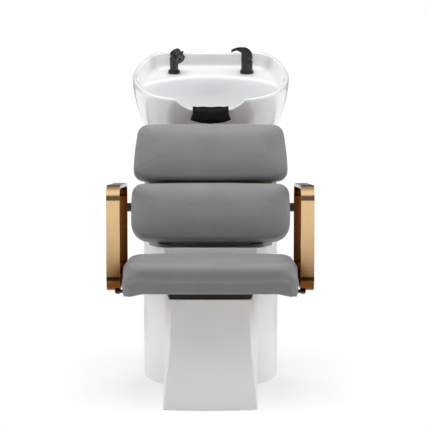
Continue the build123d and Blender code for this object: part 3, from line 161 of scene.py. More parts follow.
# %% [markdown]
# One big soft box hangs overhead and two stand at the sides. Large lamps give the soft shading that
# the leathercloth and the glaze show. Shiny surfaces see the bright ceiling instead of the lamps.

# %% Lamps
LAMPS = (("key", (0.0, -0.5, 3.6), (0, -0.1, 0.6), 2.4, 88),  # name, place, target, width, watts
         ("left", (-3.2, -0.5, 1.7), (0, 0, 0.6), 1.8, 46),
         ("right", (3.2, -0.5, 1.7), (0, 0, 0.6), 1.8, 46))
for lamp_name, place, target, width, watts in LAMPS:
    lamp_data = bpy.data.lights.new(lamp_name, "AREA")
    lamp_data.size = width
    lamp_data.energy = watts
    lamp = bpy.data.objects.new(lamp_name, lamp_data)
    lamp.location = place
    aim = Vector(target) - Vector(place)
    lamp.rotation_euler = aim.to_track_quat("-Z", "Y").to_euler()
    lamp.visible_glossy = False
    bpy.context.scene.collection.objects.link(lamp)
print("lamps:", [lamp_name for lamp_name, *_ in LAMPS])

# %% [markdown]
# Every finish starts from one Principled shader. A colour or a roughness that is the same all over
# is set on the shader itself.

# %% A finish


def finish(name, colour, roughness, metallic=0.0, **sockets):
    """A new material with one Principled shader."""
    material = bpy.data.materials.new(name)
    material.use_nodes = True
    shader = material.node_tree.nodes["Principled BSDF"]
    shader.inputs["Base Color"].default_value = (*colour, 1)
    shader.inputs["Roughness"].default_value = roughness
    shader.inputs["Metallic"].default_value = metallic
    for socket, value in sockets.items():
        shader.inputs[socket.replace("_", " ")].default_value = value
    return material


# %% [markdown]
# Its pattern comes from noise or cells on Object coordinates. They are metres here, so a scale of
# 900 means grains a little over a millimetre wide.

# %% A pattern
NOISE = "ShaderNodeTexNoise"
CELLS = "ShaderNodeTexVoronoi"
PATTERN_LOW, PATTERN_HIGH = 0.3, 0.7  # most values of a noise lie between these


def pattern(material, kind, scale, stretch=(1, 1, 1), detail=2.0):
    """A texture on Object coordinates. Returns the socket that carries its value."""
    tree = material.node_tree
    place = tree.nodes.new("ShaderNodeTexCoord")
    mapping = tree.nodes.new("ShaderNodeMapping")
    mapping.inputs["Scale"].default_value = stretch
    texture = tree.nodes.new(kind)
    texture.inputs["Scale"].default_value = scale
    texture.inputs["Detail"].default_value = detail
    tree.links.new(place.outputs["Object"], mapping.inputs["Vector"])
    tree.links.new(mapping.outputs["Vector"], texture.inputs["Vector"])
    return texture.outputs[0]


# %% [markdown]
# A pattern can change the colour, the roughness or the height of the surface.

# %% What a pattern changes


def vary_colour(material, value, dark, light):
    """The colour runs from dark to light as the pattern goes from low to high."""
    tree = material.node_tree
    ramp = tree.nodes.new("ShaderNodeValToRGB")
    ramp.color_ramp.elements[0].position = PATTERN_LOW
    ramp.color_ramp.elements[0].color = (*dark, 1)
    ramp.color_ramp.elements[1].position = PATTERN_HIGH
    ramp.color_ramp.elements[1].color = (*light, 1)
    tree.links.new(value, ramp.inputs["Fac"])
    shader = tree.nodes["Principled BSDF"]
    tree.links.new(ramp.outputs["Color"], shader.inputs["Base Color"])


def vary_roughness(material, value, low, high):
    """The roughness follows the pattern between two limits."""
    tree = material.node_tree
    reach = tree.nodes.new("ShaderNodeMapRange")
    reach.inputs["From Min"].default_value = PATTERN_LOW
    reach.inputs["From Max"].default_value = PATTERN_HIGH
    reach.inputs["To Min"].default_value = low
    reach.inputs["To Max"].default_value = high
    tree.links.new(value, reach.inputs["Value"])
    tree.links.new(reach.outputs["Result"], tree.nodes["Principled BSDF"].inputs["Roughness"])


def add_bump(material, value, height):
    """The pattern raises the surface by up to height metres. Bumps can be chained."""
    tree = material.node_tree
    bump = tree.nodes.new("ShaderNodeBump")
    bump.inputs["Distance"].default_value = height
    bump.inputs["Strength"].default_value = 1.0
    tree.links.new(value, bump.inputs["Height"])
    normal = tree.nodes["Principled BSDF"].inputs["Normal"]
    if normal.is_linked:
        tree.links.new(normal.links[0].from_socket, bump.inputs["Normal"])
    tree.links.new(bump.outputs["Normal"], normal)


# %% [markdown]
# The upholstery is grey leathercloth: a fine pebble grain from cells, a softer unevenness under it,
# and a satin surface that is a little shinier where it is stretched. The seams are sewn with a
# darker thread.

# %% Leathercloth and thread
leathercloth = finish("grey_leathercloth", (0.235, 0.236, 0.24), 0.42, Specular_IOR_Level=0.45)
vary_colour(leathercloth, pattern(leathercloth, NOISE, scale=9, detail=3),
            dark=(0.222, 0.223, 0.227), light=(0.248, 0.249, 0.253))
vary_roughness(leathercloth, pattern(leathercloth, NOISE, scale=14), low=0.38, high=0.47)
add_bump(leathercloth, pattern(leathercloth, CELLS, scale=950), height=0.00006)
add_bump(leathercloth, pattern(leathercloth, NOISE, scale=60, detail=4), height=0.00015)

thread = finish("seam_thread", (0.045, 0.045, 0.048), 0.6)
add_bump(thread, pattern(thread, NOISE, scale=2500), height=0.0001)
print("finishes:", leathercloth.name, thread.name)

# %% [markdown]
# The basin is glazed ceramic, hard and mirror-like. Its glaze is very slightly wavy, so reflections
# on it aren't perfectly straight.

# %% Ceramic glaze
glaze = finish("white_ceramic", (0.76, 0.765, 0.77), 0.07, Coat_Weight=0.6, Coat_Roughness=0.03)
vary_colour(glaze, pattern(glaze, NOISE, scale=5),
            dark=(0.745, 0.75, 0.755), light=(0.77, 0.775, 0.78))
vary_roughness(glaze, pattern(glaze, NOISE, scale=30), low=0.05, high=0.09)
add_bump(glaze, pattern(glaze, NOISE, scale=12, detail=1), height=0.0001)
print("finish:", glaze.name)

# %% [markdown]
# The column and the leg are laminated shells with a smooth satin gel coat. Two calls of one function
# make their whites. The leg's is a little lighter as painted light, making up for the dimmer light
# on its front face.

# %% Gel coats
GEL_SHADE_SHARE = 0.97  # the darkest places against the lightest
GEL_ROUGHNESS_SPREAD = 0.03


def gel_coat(name, colour, roughness):
    """A smooth white shell surface."""
    material = finish(name, colour, roughness, Coat_Weight=0.1, Coat_Roughness=0.2)
    darker = tuple(channel * GEL_SHADE_SHARE for channel in colour)
    vary_colour(material, pattern(material, NOISE, scale=4), dark=darker, light=colour)
    vary_roughness(material, pattern(material, NOISE, scale=25),
                   low=roughness - GEL_ROUGHNESS_SPREAD, high=roughness + GEL_ROUGHNESS_SPREAD)
    return material


shell_white = gel_coat("white_shell", (0.84, 0.84, 0.84), 0.38)
# Painted light: the leg's white is lighter than the column's to make up for the dim light on its
# front.
lit_leg_white = gel_coat("leg_shell", (0.86, 0.862, 0.867), 0.4)
print("finishes:", shell_white.name, lit_leg_white.name)

# %% [markdown]
# The arm loops are flat bar in brushed gold. The brush marks run along the bar, so the noise is
# stretched in Y and Z, and squeezed across the bar, in X. The insides of the loops reflect each other
# and the cushions, so they look brown. That brown is painted shade and reflection: a few samples of
# ambient occlusion darken the base colour there, more cheaply than many bounces of light.

# %% Gold
RECESS_REACH = 0.6  # metres, a little more than the length of a loop


def paint_recess_shade(material, dark, low, high):
    """Painted shade: the colour turns dark where nearby surfaces shut in more of the view."""
    tree = material.node_tree
    openness = tree.nodes.new("ShaderNodeAmbientOcclusion")
    openness.samples = 8
    openness.inputs["Distance"].default_value = RECESS_REACH
    share = tree.nodes.new("ShaderNodeMapRange")
    share.inputs["From Min"].default_value = low
    share.inputs["From Max"].default_value = high
    tree.links.new(openness.outputs["AO"], share.inputs["Value"])
    mix = tree.nodes.new("ShaderNodeMix")
    mix.data_type = "RGBA"
    mix.inputs["A"].default_value = (*dark, 1)
    colour = tree.nodes["Principled BSDF"].inputs["Base Color"]
    tree.links.new(share.outputs["Result"], mix.inputs["Factor"])
    tree.links.new(colour.links[0].from_socket, mix.inputs["B"])
    tree.links.new(mix.outputs["Result"], colour)


gold = finish("gold_metal", (0.86, 0.59, 0.31), 0.14, metallic=1.0)
brush_marks = pattern(gold, NOISE, scale=40, stretch=(12, 0.4, 0.4), detail=4)
vary_colour(gold, brush_marks, dark=(0.81, 0.54, 0.265), light=(0.9, 0.635, 0.35))
vary_roughness(gold, brush_marks, low=0.12, high=0.18)
# Painted shade and reflection: the insides of the loops turn dark brown.
paint_recess_shade(gold, dark=(0.2, 0.065, 0.01), low=0.72, high=0.95)
print("finish:", gold.name)

# %% [markdown]
# The fasteners are zinc plated, the drain parts are bright chrome, and the frame and the fittings
# are black. They differ mostly in how rough they are.

# %% Other metals
zinc = finish("fasteners", (0.6, 0.6, 0.61), 0.35, metallic=1.0)
vary_roughness(zinc, pattern(zinc, NOISE, scale=300), low=0.28, high=0.45)
add_bump(zinc, pattern(zinc, NOISE, scale=600), height=0.00003)

chrome = finish("bright_chrome", (0.86, 0.86, 0.87), 0.06, metallic=1.0)
vary_roughness(chrome, pattern(chrome, NOISE, scale=80), low=0.04, high=0.1)

powder_coat = finish("steel_frame", (0.028, 0.028, 0.03), 0.5)
vary_roughness(powder_coat, pattern(powder_coat, NOISE, scale=200), low=0.42, high=0.58)
add_bump(powder_coat, pattern(powder_coat, NOISE, scale=900, detail=3), height=0.00006)

satin_black = finish("black_fittings", (0.011, 0.011, 0.012), 0.3)
vary_roughness(satin_black, pattern(satin_black, NOISE, scale=120), low=0.26, high=0.34)
print("finishes:", zinc.name, chrome.name, powder_coat.name, satin_black.name)

# %% [markdown]
# The neck rest is a glossy moulded pad, and its slightly lumpy surface breaks reflections into short
# bright patches. The other plastics and rubbers are duller.

# %% Plastics and rubbers
tray_black = finish("black_tray", (0.016, 0.016, 0.016), 0.45)
add_bump(tray_black, pattern(tray_black, CELLS, scale=700), height=0.00008)
vary_roughness(tray_black, pattern(tray_black, NOISE, scale=50), low=0.38, high=0.52)

sprayer_black = finish("black_sprayer", (0.014, 0.014, 0.015), 0.26)
vary_roughness(sprayer_black, pattern(sprayer_black, NOISE, scale=150), low=0.22, high=0.3)

neck_gloss = finish("neck_pad", (0.004, 0.004, 0.004), 0.1, Specular_IOR_Level=0.3)
add_bump(neck_gloss, pattern(neck_gloss, NOISE, scale=28, detail=1), height=0.0012)
vary_roughness(neck_gloss, pattern(neck_gloss, NOISE, scale=60), low=0.07, high=0.14)

soft_rubber = finish("soft_rubber", (0.02, 0.02, 0.02), 0.7)
add_bump(soft_rubber, pattern(soft_rubber, NOISE, scale=800), height=0.00004)

grey_plastic = finish("grey_plastic", (0.35, 0.36, 0.37), 0.4)
vary_roughness(grey_plastic, pattern(grey_plastic, NOISE, scale=100), low=0.33, high=0.48)
add_bump(grey_plastic, pattern(grey_plastic, NOISE, scale=900), height=0.00003)
print("finishes:", tray_black.name, sprayer_black.name, neck_gloss.name, soft_rubber.name,
      grey_plastic.name)

# %% [markdown]
# The boards behind the cushions are plywood. Its grain is noise that is squeezed in two directions.

# %% Plywood
GRAIN_STRETCH = (1, 9, 9)
plywood = finish("plywood", (0.5, 0.34, 0.19), 0.6)
vary_colour(plywood, pattern(plywood, NOISE, scale=14, stretch=GRAIN_STRETCH, detail=6),
            dark=(0.4, 0.26, 0.14), light=(0.58, 0.41, 0.24))
add_bump(plywood, pattern(plywood, NOISE, scale=60, stretch=GRAIN_STRETCH), height=0.0001)
print("finish:", plywood.name)

# %% [markdown]
# Each CAD part gets the finish of its slot in the record. Parts that keep their CAD mesh, such as
# the hidden frame, need nothing more.

# %% Finishes on the CAD parts
FINISHES = {"grey_leathercloth": leathercloth, "white_ceramic": glaze,
            "white_shell": shell_white, "leg_shell": lit_leg_white, "gold_metal": gold,
            "fasteners": zinc, "bright_chrome": chrome, "steel_frame": powder_coat,
            "black_fittings": satin_black, "black_tray": tray_black,
            "black_sprayer": sprayer_black, "neck_pad": neck_gloss, "soft_rubber": soft_rubber,
            "grey_plastic": grey_plastic, "plywood": plywood}
NODE_SLOTS = {entry["node"]: entry["material_slot"] for entry in frame["record"]["subparts"]}
for node_name, node in NODES.items():
    node.data.materials.clear()
    node.data.materials.append(FINISHES[NODE_SLOTS[node_name]])
print("finished parts:", len(NODE_SLOTS))

# %% [markdown]
# The new pieces start from a copy of a CAD part. A CAD mesh is loose triangles, so the copy is
# merged first, and flat areas become single faces.

# %% Merged copies
MERGE_REACH = 1e-5
FLAT_ANGLE = math.radians(0.3)


def merged_copy(node_name, piece_name):
    """A copy of a CAD part whose triangles are joined to one surface."""
    mesh = NODES[node_name].data.copy()
    shape = bmesh.new()
    shape.from_mesh(mesh)
    bmesh.ops.remove_doubles(shape, verts=shape.verts, dist=MERGE_REACH)
    bmesh.ops.dissolve_limit(shape, angle_limit=FLAT_ANGLE, verts=shape.verts, edges=shape.edges)
    shape.to_mesh(mesh)
    shape.free()
    piece = bpy.data.objects.new(piece_name, mesh)
    bpy.context.scene.collection.objects.link(piece)
    return piece


def apply_modifiers(piece):
    """Keep what the modifiers made as the piece's own mesh."""
    graph = bpy.context.evaluated_depsgraph_get()
    made = bpy.data.meshes.new_from_object(piece.evaluated_get(graph))
    piece.modifiers.clear()
    piece.data = made
    return piece


# %% [markdown]
# A finished piece takes the place of its CAD part and moves with the same body of the part, such as
# the basin or the lever.

# %% In place of a CAD part
NODE_BODY = {member: body for body, members in frame["record"]["behaviour"]["bodies"].items()
             for member in members}


def shade_smooth(piece):
    """Shade every face of a piece smoothly."""
    piece.data.polygons.foreach_set("use_smooth", [True] * len(piece.data.polygons))


def settle(piece, node_name):
    """Shade a piece, give it its finish and let it ride in place of its CAD part."""
    piece.data.materials.clear()
    piece.data.materials.append(FINISHES[NODE_SLOTS[node_name]])
    shade_smooth(piece)
    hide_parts(node_name)
    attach(piece, NODE_BODY[node_name])
    print(piece.name, "faces:", len(piece.data.polygons))
    return piece


# %% [markdown]
# Sheet metal and moulded shells have small rounded edges, which a bevel makes. Cast and glazed
# pieces flow from one form into the next, so they get a fine even mesh that is then smoothed.

# %% Bevelled and cast pieces
SHARP_ANGLE = math.radians(35)  # edges that turn by more than this are bevelled


def bevelled(node_name, piece_name, width, segments=3):
    """A copy of a CAD part with its sharp edges rounded off."""
    piece = merged_copy(node_name, piece_name)
    shape = bmesh.new()
    shape.from_mesh(piece.data)
    sharp = [edge for edge in shape.edges
             if len(edge.link_faces) == 2 and edge.calc_face_angle() > SHARP_ANGLE]
    bmesh.ops.bevel(shape, geom=sharp, offset=width, offset_type="OFFSET", segments=segments,
                    profile=0.5, affect="EDGES", clamp_overlap=True, material=-1)
    shape.to_mesh(piece.data)
    shape.free()
    settle(piece, node_name)
    weights = piece.modifiers.new("even_shading", "WEIGHTED_NORMAL")
    weights.keep_sharp = False
    return piece


def cast(node_name, piece_name, voxel, rounds):
    """A copy of a CAD part whose edges and joins run smoothly into each other."""
    piece = merged_copy(node_name, piece_name)
    remesh = piece.modifiers.new("skin", "REMESH")
    remesh.mode = "VOXEL"
    remesh.voxel_size = voxel
    soften = piece.modifiers.new("soften", "SMOOTH")
    soften.factor = 0.5
    soften.iterations = rounds
    return apply_modifiers(piece)


# %% [markdown]
# The column, its lid, the access panel and the leg are thin shells, and the tray is a folded one. A
# bevel of one or two millimetres is enough to catch the light along their edges.

# %% Shells
for part, new_name, width in (("column_shell", "column_body", 0.0022),
                              ("column_cap", "column_lid", 0.0018),
                              ("rear_access_panel", "access_panel", 0.0010),
                              ("leg_cover", "leg_body", 0.0020),
                              ("seat_tray", "seat_pan", 0.0010)):
    bevelled(part, new_name, width)

# %% [markdown]
# Each arm is one bar of gold-coloured metal, bent into a loop. Its edges are broken by a fine
# bevel, which shows as a thin bright line in the photograph.

# %% Arm loops
ARM_BEVEL = 0.0012
for side in ("left", "right"):
    bevelled(f"armrest_{side}", f"arm_loop_{side}", ARM_BEVEL)

# %% [markdown]
# The basin is cast ceramic. It leans forwards, so its forms are easiest to describe in its own
# directions: across, along the rim from front to back, and above the plane of the rim.

# %% Directions of the basin
TILT = math.radians(16)
RIM_HEIGHT = 0.911


def to_basin(point):
    """Across, along and above the rim plane, for a point of the room."""
    rise = point.z - RIM_HEIGHT
    return (point.x, point.y * math.cos(TILT) + rise * math.sin(TILT),
            -point.y * math.sin(TILT) + rise * math.cos(TILT))


def turned_to_basin(normal):
    """The same directions for a normal, which has no place."""
    return to_basin(normal + Vector((0, 0, RIM_HEIGHT)))


def from_basin(across, along, above):
    """The point of the room at a place on the basin."""
    return Vector((across, along * math.cos(TILT) - above * math.sin(TILT),
                   RIM_HEIGHT + along * math.sin(TILT) + above * math.cos(TILT)))


def ease(value, start, end):
    """0 before start and 1 after end, with a smooth change between them."""
    share = min(1.0, max(0.0, (value - start) / (end - start)))
    return share * share * (3 - 2 * share)


# %% [markdown]
# Glaze runs into every corner, so no edge on it is sharp. A fine remesh with a little smoothing
# rounds the rim. The inside is smoothed much more, so that the deck, the walls and the bowl run into
# each other, but not round the holes, where the fittings sit flat.

# %% Flowing inside of the basin
BASIN_MIDDLE = (0.0, 0.27)  # across and along
HOLES = ((0.1266, 0.461, 0.03), (-0.1296, 0.461, 0.03), (0.0, 0.185, 0.038))  # place and flat reach
HOLE_BLEND = 0.018


def inner_share(vertex):
    """How much a point of the basin belongs to the flowing inside."""
    across, along, above = to_basin(vertex.co)
    outwards = Vector((across - BASIN_MIDDLE[0], (along - BASIN_MIDDLE[1]), 0)).normalized()
    facing = turned_to_basin(vertex.normal)
    inwards = -(facing[0] * outwards.x + facing[1] * outwards.y)
    share = max(ease(inwards, 0.15, 0.5), ease(facing[2], 0.1, 0.4)) * ease(-above, 0.004, 0.022)
    for hole_across, hole_along, flat_reach in HOLES:
        distance = math.hypot(across - hole_across, along - hole_along)
        share *= ease(distance, flat_reach, flat_reach + HOLE_BLEND)
    return share * (1.0 if facing[2] > -0.1 else 0.0)


def flowing(piece, share_of, rounds):
    """Smooth a piece more where share_of gives more."""
    group = piece.vertex_groups.new(name="flowing")
    for vertex in piece.data.vertices:
        share = share_of(vertex)
        if share > 0:
            group.add([vertex.index], share, "REPLACE")
    flow = piece.modifiers.new("flow", "SMOOTH")
    flow.factor = 0.5
    flow.iterations = rounds
    flow.vertex_group = "flowing"
    apply_modifiers(piece)
    piece.vertex_groups.clear()


basin = cast("bowl", "basin_ceramic", voxel=0.004, rounds=10)
flowing(basin, inner_share, rounds=45)
lowered_by = -max(to_basin(vertex.co)[2] for vertex in basin.data.vertices)
print("the smoothed rim is lower by", round(lowered_by * 1000, 1), "mm")

# %% [markdown]
# Then the rim is raised again to its height. On the real basin it rises a little more at the back,
# most of all at its two rear corners, and the two lips beside the neck notch are drawn forwards.

# %% Rim and lips
RIM_BAND = (-0.05, -0.01)  # heights over which the rim's shape fades in
WIDER_BAND = (-0.1, -0.02)
REAR_BAND = (0.3, 0.5)  # along
CORNER_BAND = (0.03, 0.17)  # across
REAR_RISE = 0.003
CORNER_RISE = 0.004
CORNER_WIDER_SHARE = 0.005
LIP_REACH = 0.006
LIP_FROM, LIP_TO = 0.06, 0.16  # across
LIP_BACK = 0.05  # along
LIP_BLEND = 0.04

for vertex in basin.data.vertices:
    across, along, above = to_basin(vertex.co)
    near_rim = ease(above, *RIM_BAND)
    rear = ease(along, *REAR_BAND)
    corner = ease(abs(across), *CORNER_BAND) * rear
    rise = (lowered_by + REAR_RISE * rear + CORNER_RISE * corner) * near_rim
    lip = (LIP_REACH * ease(LIP_BACK - along, 0.0, LIP_BLEND) * near_rim
           * ease(abs(across), LIP_FROM, LIP_FROM + LIP_BLEND)
           * ease(LIP_TO - abs(across), 0.0, LIP_BLEND))
    wider = CORNER_WIDER_SHARE * corner * ease(above, *WIDER_BAND)
    vertex.co = from_basin(across * (1 + wider), along - lip, above + rise)
settle(basin, "bowl")

# %% [markdown]
# A cushion is foam under stretched leathercloth. It could be sculpted by hand, but a cloth simulation
# finds the crown and the drawn-in sides by itself. It starts from a remeshed copy, holds the side
# that lies on the board and the seams, and blows the rest up with a little air pressure. How far a
# point may move is capped, so the cushion keeps its place and its outline.

# %% Air in a cushion
AIR_PRESSURE = 4.0
AIR_FRAMES = 20


def capped_moves(piece, start, cap):
    """Shorten the moves from the start places to the cap."""
    for vertex, before in zip(piece.data.vertices, start):
        move = vertex.co - before
        if move.length > cap:
            vertex.co = before + move * (cap / move.length)


def puffed(piece, held, cap):
    """Blow a cushion up in a short cloth simulation. held says which points stay put."""
    group = piece.vertex_groups.new(name="held")
    for vertex in piece.data.vertices:
        if held(vertex.co):
            group.add([vertex.index], 1.0, "REPLACE")
    start = [vertex.co.copy() for vertex in piece.data.vertices]
    cloth = piece.modifiers.new("air", "CLOTH")
    cloth.settings.use_pressure = True
    cloth.settings.uniform_pressure_force = AIR_PRESSURE
    cloth.settings.effector_weights.gravity = 0
    cloth.settings.vertex_group_mass = "held"
    cloth.settings.quality = 5
    for number in range(1, AIR_FRAMES + 1):
        bpy.context.scene.frame_set(number)
    apply_modifiers(piece)
    bpy.context.scene.frame_set(1)
    capped_moves(piece, start, cap)
    piece.vertex_groups.clear()
    finer = piece.modifiers.new("finer", "SUBSURF")
    finer.levels = 1
    finer.render_levels = 1
    return apply_modifiers(piece)


# %% [markdown]
# Air and smoothing change how far a cushion reaches. So it is stretched back to the size of its CAD
# part, which is the size that the record and the physics know.

# %% Size of a cushion


def fitted(piece, node_name, directions):
    """Stretch a piece so that it reaches as far as its CAD part along each direction."""
    for direction in directions:
        wanted = [vertex.co.dot(direction) for vertex in NODES[node_name].data.vertices]
        reached = [vertex.co.dot(direction) for vertex in piece.data.vertices]
        start, end = min(wanted), max(wanted)
        low, high = min(reached), max(reached)
        scale = (end - start) / (high - low)
        for vertex, reach in zip(piece.data.vertices, reached):
            vertex.co += direction * (start + (reach - low) * scale - reach)
        print(piece.name, "stretched along", [round(part, 2) for part in direction],
              "by", round(scale, 4))
    return piece


# %% [markdown]
# A seam is a pressed-in line with its thread at the bottom. Three planes cut the cushion, and the
# middle cut is pushed in. Its edges come out of the mesh unordered, so they are chained to a loop
# first, and the thread is a thin round curve along that loop.

# %% Seams
SEAM_DEPTH = 0.0026
SEAM_HALF_WIDTH = 0.004
THREAD_RADIUS = 0.0009


def chained(edges):
    """The longest run of points that follow each other along the given edges."""
    left = set(edges)
    chains = []
    while left:
        edge = left.pop()
        chain = [edge.verts[0], edge.verts[1]]
        onward = [other for other in chain[-1].link_edges if other in left]
        while onward:
            left.discard(onward[0])
            chain.append(onward[0].other_vert(chain[-1]))
            onward = [other for other in chain[-1].link_edges if other in left]
        chains.append([vertex.co.copy() for vertex in chain])
    return max(chains, key=len)


def pressed_line(piece, point, normal):
    """Press a line into a piece where a plane cuts it. Returns the points of the line."""
    shape = bmesh.new()
    shape.from_mesh(piece.data)
    for shift in (-SEAM_HALF_WIDTH, SEAM_HALF_WIDTH, 0):
        cut = bmesh.ops.bisect_plane(shape, plane_co=point + normal * shift, plane_no=normal,
                                     geom=shape.verts[:] + shape.edges[:] + shape.faces[:])
    shape.normal_update()
    for part in cut["geom_cut"]:
        if isinstance(part, bmesh.types.BMVert):
            part.co -= part.normal * SEAM_DEPTH
    loop = chained(part for part in cut["geom_cut"] if isinstance(part, bmesh.types.BMEdge))
    shape.to_mesh(piece.data)
    shape.free()
    return loop


def thread_along(loop, name):
    """A mesh of a thin round thread through every second point of a loop."""
    curve = bpy.data.curves.new(name, "CURVE")
    curve.dimensions = "3D"
    curve.bevel_depth = THREAD_RADIUS
    curve.bevel_resolution = 1
    spline = curve.splines.new("POLY")
    places = loop[:-1:2]
    spline.points.add(len(places) - 1)
    for target, place in zip(spline.points, places):
        target.co = (*place, 1)
    spline.use_cyclic_u = True
    line = bpy.data.objects.new(name, curve)
    graph = bpy.context.evaluated_depsgraph_get()
    bpy.context.scene.collection.objects.link(line)
    graph.update()
    made = bpy.data.meshes.new_from_object(line.evaluated_get(graph))
    bpy.data.objects.remove(line)
    return made


def sewn_seam(piece, name, point, normal):
    """A seam round a cushion where a plane cuts it."""
    stitches = bpy.data.objects.new(name, thread_along(pressed_line(piece, point, normal), name))
    bpy.context.scene.collection.objects.link(stitches)
    stitches.data.materials.clear()
    stitches.data.materials.append(thread)
    shade_smooth(stitches)
    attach(stitches, "base")
    return stitches


# %% [markdown]
# The two back cushions lie on boards that lean back. They are boxed: a seam runs round the border,
# between the front panel and the side strip. The CAD cushion is rounder there, so its profile is
# squared up first. The list pairs heights over the board, in CAD and in the cushion.

# %% Directions and profile of the back
LEAN = math.radians(18)
BACK_FOOT = Vector((0, -0.15, 0.448))
BACK_OUT = Vector((0, -math.cos(LEAN), math.sin(LEAN)))
BACK_UP = Vector((0, math.sin(LEAN), math.cos(LEAN)))
ACROSS = Vector((1, 0, 0))
SEAM_HEIGHT = 0.068
PROFILE = ((-0.01, -0.01), (0.036, 0.036), (0.060, SEAM_HEIGHT), (0.077, 0.0775), (0.09, 0.0875))
ON_BOARD = 0.006  # points lower than this over the board stay put
SEAM_GRIP = 0.0032  # and so do points this near to the seam


def squared(height):
    """The height over the board in the boxed cushion, for a height in the CAD one."""
    for (low, new_low), (high, new_high) in zip(PROFILE, PROFILE[1:]):
        if height <= high:
            return new_low + (new_high - new_low) * (height - low) / (high - low)
    return height


def held_by_back(point):
    """Whether a point of a back cushion lies on its board or at its seam."""
    height = (point - BACK_FOOT).dot(BACK_OUT)
    return height < ON_BOARD or abs(height - SEAM_HEIGHT) < SEAM_GRIP


# %% [markdown]
# In the photograph the upper cushion sits a little higher than its CAD part, and the lumbar cushion
# is a little taller than its own. So their lower and upper edges are moved along the board last.

# %% Back cushions


def reseat(pad, low_shift, high_shift):
    """Move the lower and the upper edge of a back cushion, and what lies between in proportion."""
    along = [(vertex.co - BACK_FOOT).dot(BACK_UP) for vertex in pad.data.vertices]
    start, end = min(along), max(along)
    for vertex, place in zip(pad.data.vertices, along):
        share = (place - start) / (end - start)
        vertex.co += BACK_UP * (low_shift + (high_shift - low_shift) * share)


for part, new_name, low_shift, high_shift in (("upper_cushion", "upper_pad", 0.009, 0.009),
                                              ("lumbar_cushion", "lumbar_pad", -0.003, 0.005)):
    pad = cast(part, new_name, voxel=0.005, rounds=2)
    for vertex in pad.data.vertices:
        height = (vertex.co - BACK_FOOT).dot(BACK_OUT)
        vertex.co += BACK_OUT * (squared(height) - height)
    puffed(pad, held_by_back, cap=0.006)
    fitted(pad, part, (ACROSS, BACK_UP, BACK_OUT))
    reseat(pad, low_shift, high_shift)
    sewn_seam(pad, new_name + "_seam", BACK_FOOT + BACK_OUT * SEAM_HEIGHT, BACK_OUT)
    settle(pad, part)

# %% [markdown]
# The seat cushion is a soft block on a board. The simulation makes its crown, as on the back.

# %% Air in the seat cushion
SEAT_LOW, SEAT_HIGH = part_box("seat_cushion")
SEAT_HELD_HEIGHT = 0.03


def held_by_seat(point):
    """Whether a point of the seat cushion lies on its board or low on its sides."""
    return point.z < SEAT_LOW.z + SEAT_HELD_HEIGHT


seat_pad = puffed(cast("seat_cushion", "seat_pad", voxel=0.006, rounds=2), held_by_seat, cap=0.005)
fitted(seat_pad, "seat_cushion", (ACROSS, Vector((0, 1, 0)), Vector((0, 0, 1))))

# %% [markdown]
# Its leathercloth is drawn down over the edge of the board. Its front corners are round at the top
# and sharp at the foot. They end in two small ears of folded cloth, and a seam runs down beside each
# corner. The normals are copied first, because they change as soon as a point is moved.

# %% Drawn-down edges of the seat cushion
WRAP_DROP = 0.008
EAR_DROP = 0.008
CORNER_PULL = 0.010
CORNER_SET_BACK = 0.012
SIDE_PULL = 0.006
CORNER_SEAM = 0.254  # across
CORNER_SEAM_HALF_WIDTH = 0.004
CORNER_SEAM_DEPTH = 0.0016


def near(distance, far, close):
    """1 closer than close and 0 beyond far, with a smooth change between them."""
    return ease(-distance, -far, -close)


seat_normals = [vertex.normal.copy() for vertex in seat_pad.data.vertices]
for vertex, facing in zip(seat_pad.data.vertices, seat_normals):
    place = vertex.co.copy()
    side = 1 if place.x > 0 else -1
    from_side = SEAT_HIGH.x - abs(place.x)
    from_front = place.y - SEAT_LOW.y
    height = place.z - SEAT_LOW.z
    at_side = near(from_side, far=0.075, close=0.01)
    at_front = near(from_front, far=0.09, close=0.01)
    low = near(height, far=0.05, close=0)
    high = ease(place.z, SEAT_LOW.z + SEAT_HELD_HEIGHT, SEAT_HIGH.z - 0.02)
    outline = max(near(from_side, far=0.03, close=0.012), near(from_front, far=0.04, close=0.015))
    wrap = WRAP_DROP * near(height, far=0.02, close=0.002) * outline
    vertex.co.x -= side * at_side * (CORNER_PULL * at_front * high + SIDE_PULL * low)
    vertex.co.y += CORNER_SET_BACK * at_side * at_front * high
    vertex.co.z -= wrap + EAR_DROP * at_side * at_front * low
    from_seam = abs(abs(place.x) - CORNER_SEAM) / CORNER_SEAM_HALF_WIDTH
    groove = (1 - min(1.0, from_seam)) * at_front * (1 - high)
    vertex.co -= facing * CORNER_SEAM_DEPTH * groove
settle(seat_pad, "seat_cushion")

# %% [markdown]
# The neck rest is a soft black saddle over the notch. Its top rolls over into its front. It is
# thinner towards its two tips, and its sides are drawn in at half height.

# %% Neck rest
TIP_FROM, TIP_TO = 0.02, 0.062  # across
TIP_SET_FORWARD = 0.014
TIP_DROP = 0.006
WAIST_LOW, WAIST_TALL = -0.07, 0.06
WAIST_SHARE = 0.13

saddle = cast("neck_rest", "neck_saddle", voxel=0.0022, rounds=3)


def roll_share(vertex):
    """How much a point of the neck rest belongs to the roll from its top into its front."""
    above = to_basin(vertex.co)[2]
    facing = turned_to_basin(vertex.normal)
    return ease(max(facing[2], -facing[1]), 0.0, 0.4) * ease(above, -0.075, -0.055)


flowing(saddle, roll_share, rounds=25)
for vertex in saddle.data.vertices:
    across, along, above = to_basin(vertex.co)
    tip = ease(abs(across), TIP_FROM, TIP_TO)
    top_side = ease(above, -0.05, -0.036)
    waist = math.sin(math.pi * min(1.0, max(0.0, (above - WAIST_LOW) / WAIST_TALL))) ** 1.5
    vertex.co = from_basin(across * (1 - WAIST_SHARE * tip * waist),
                           along - TIP_SET_FORWARD * tip * ease(along, 0.005, 0.035),
                           above - TIP_DROP * tip * top_side)
settle(saddle, "neck_rest")

# %% [markdown]
# The mixer's body runs up into its lever in one swoop, so these two are cast. The sprayer's drum has
# clear edges, so its shell and all the collars are bevelled copies.

# %% Fittings
SHELL_BEVEL = 0.0012
COLLAR_BEVEL = 0.0007

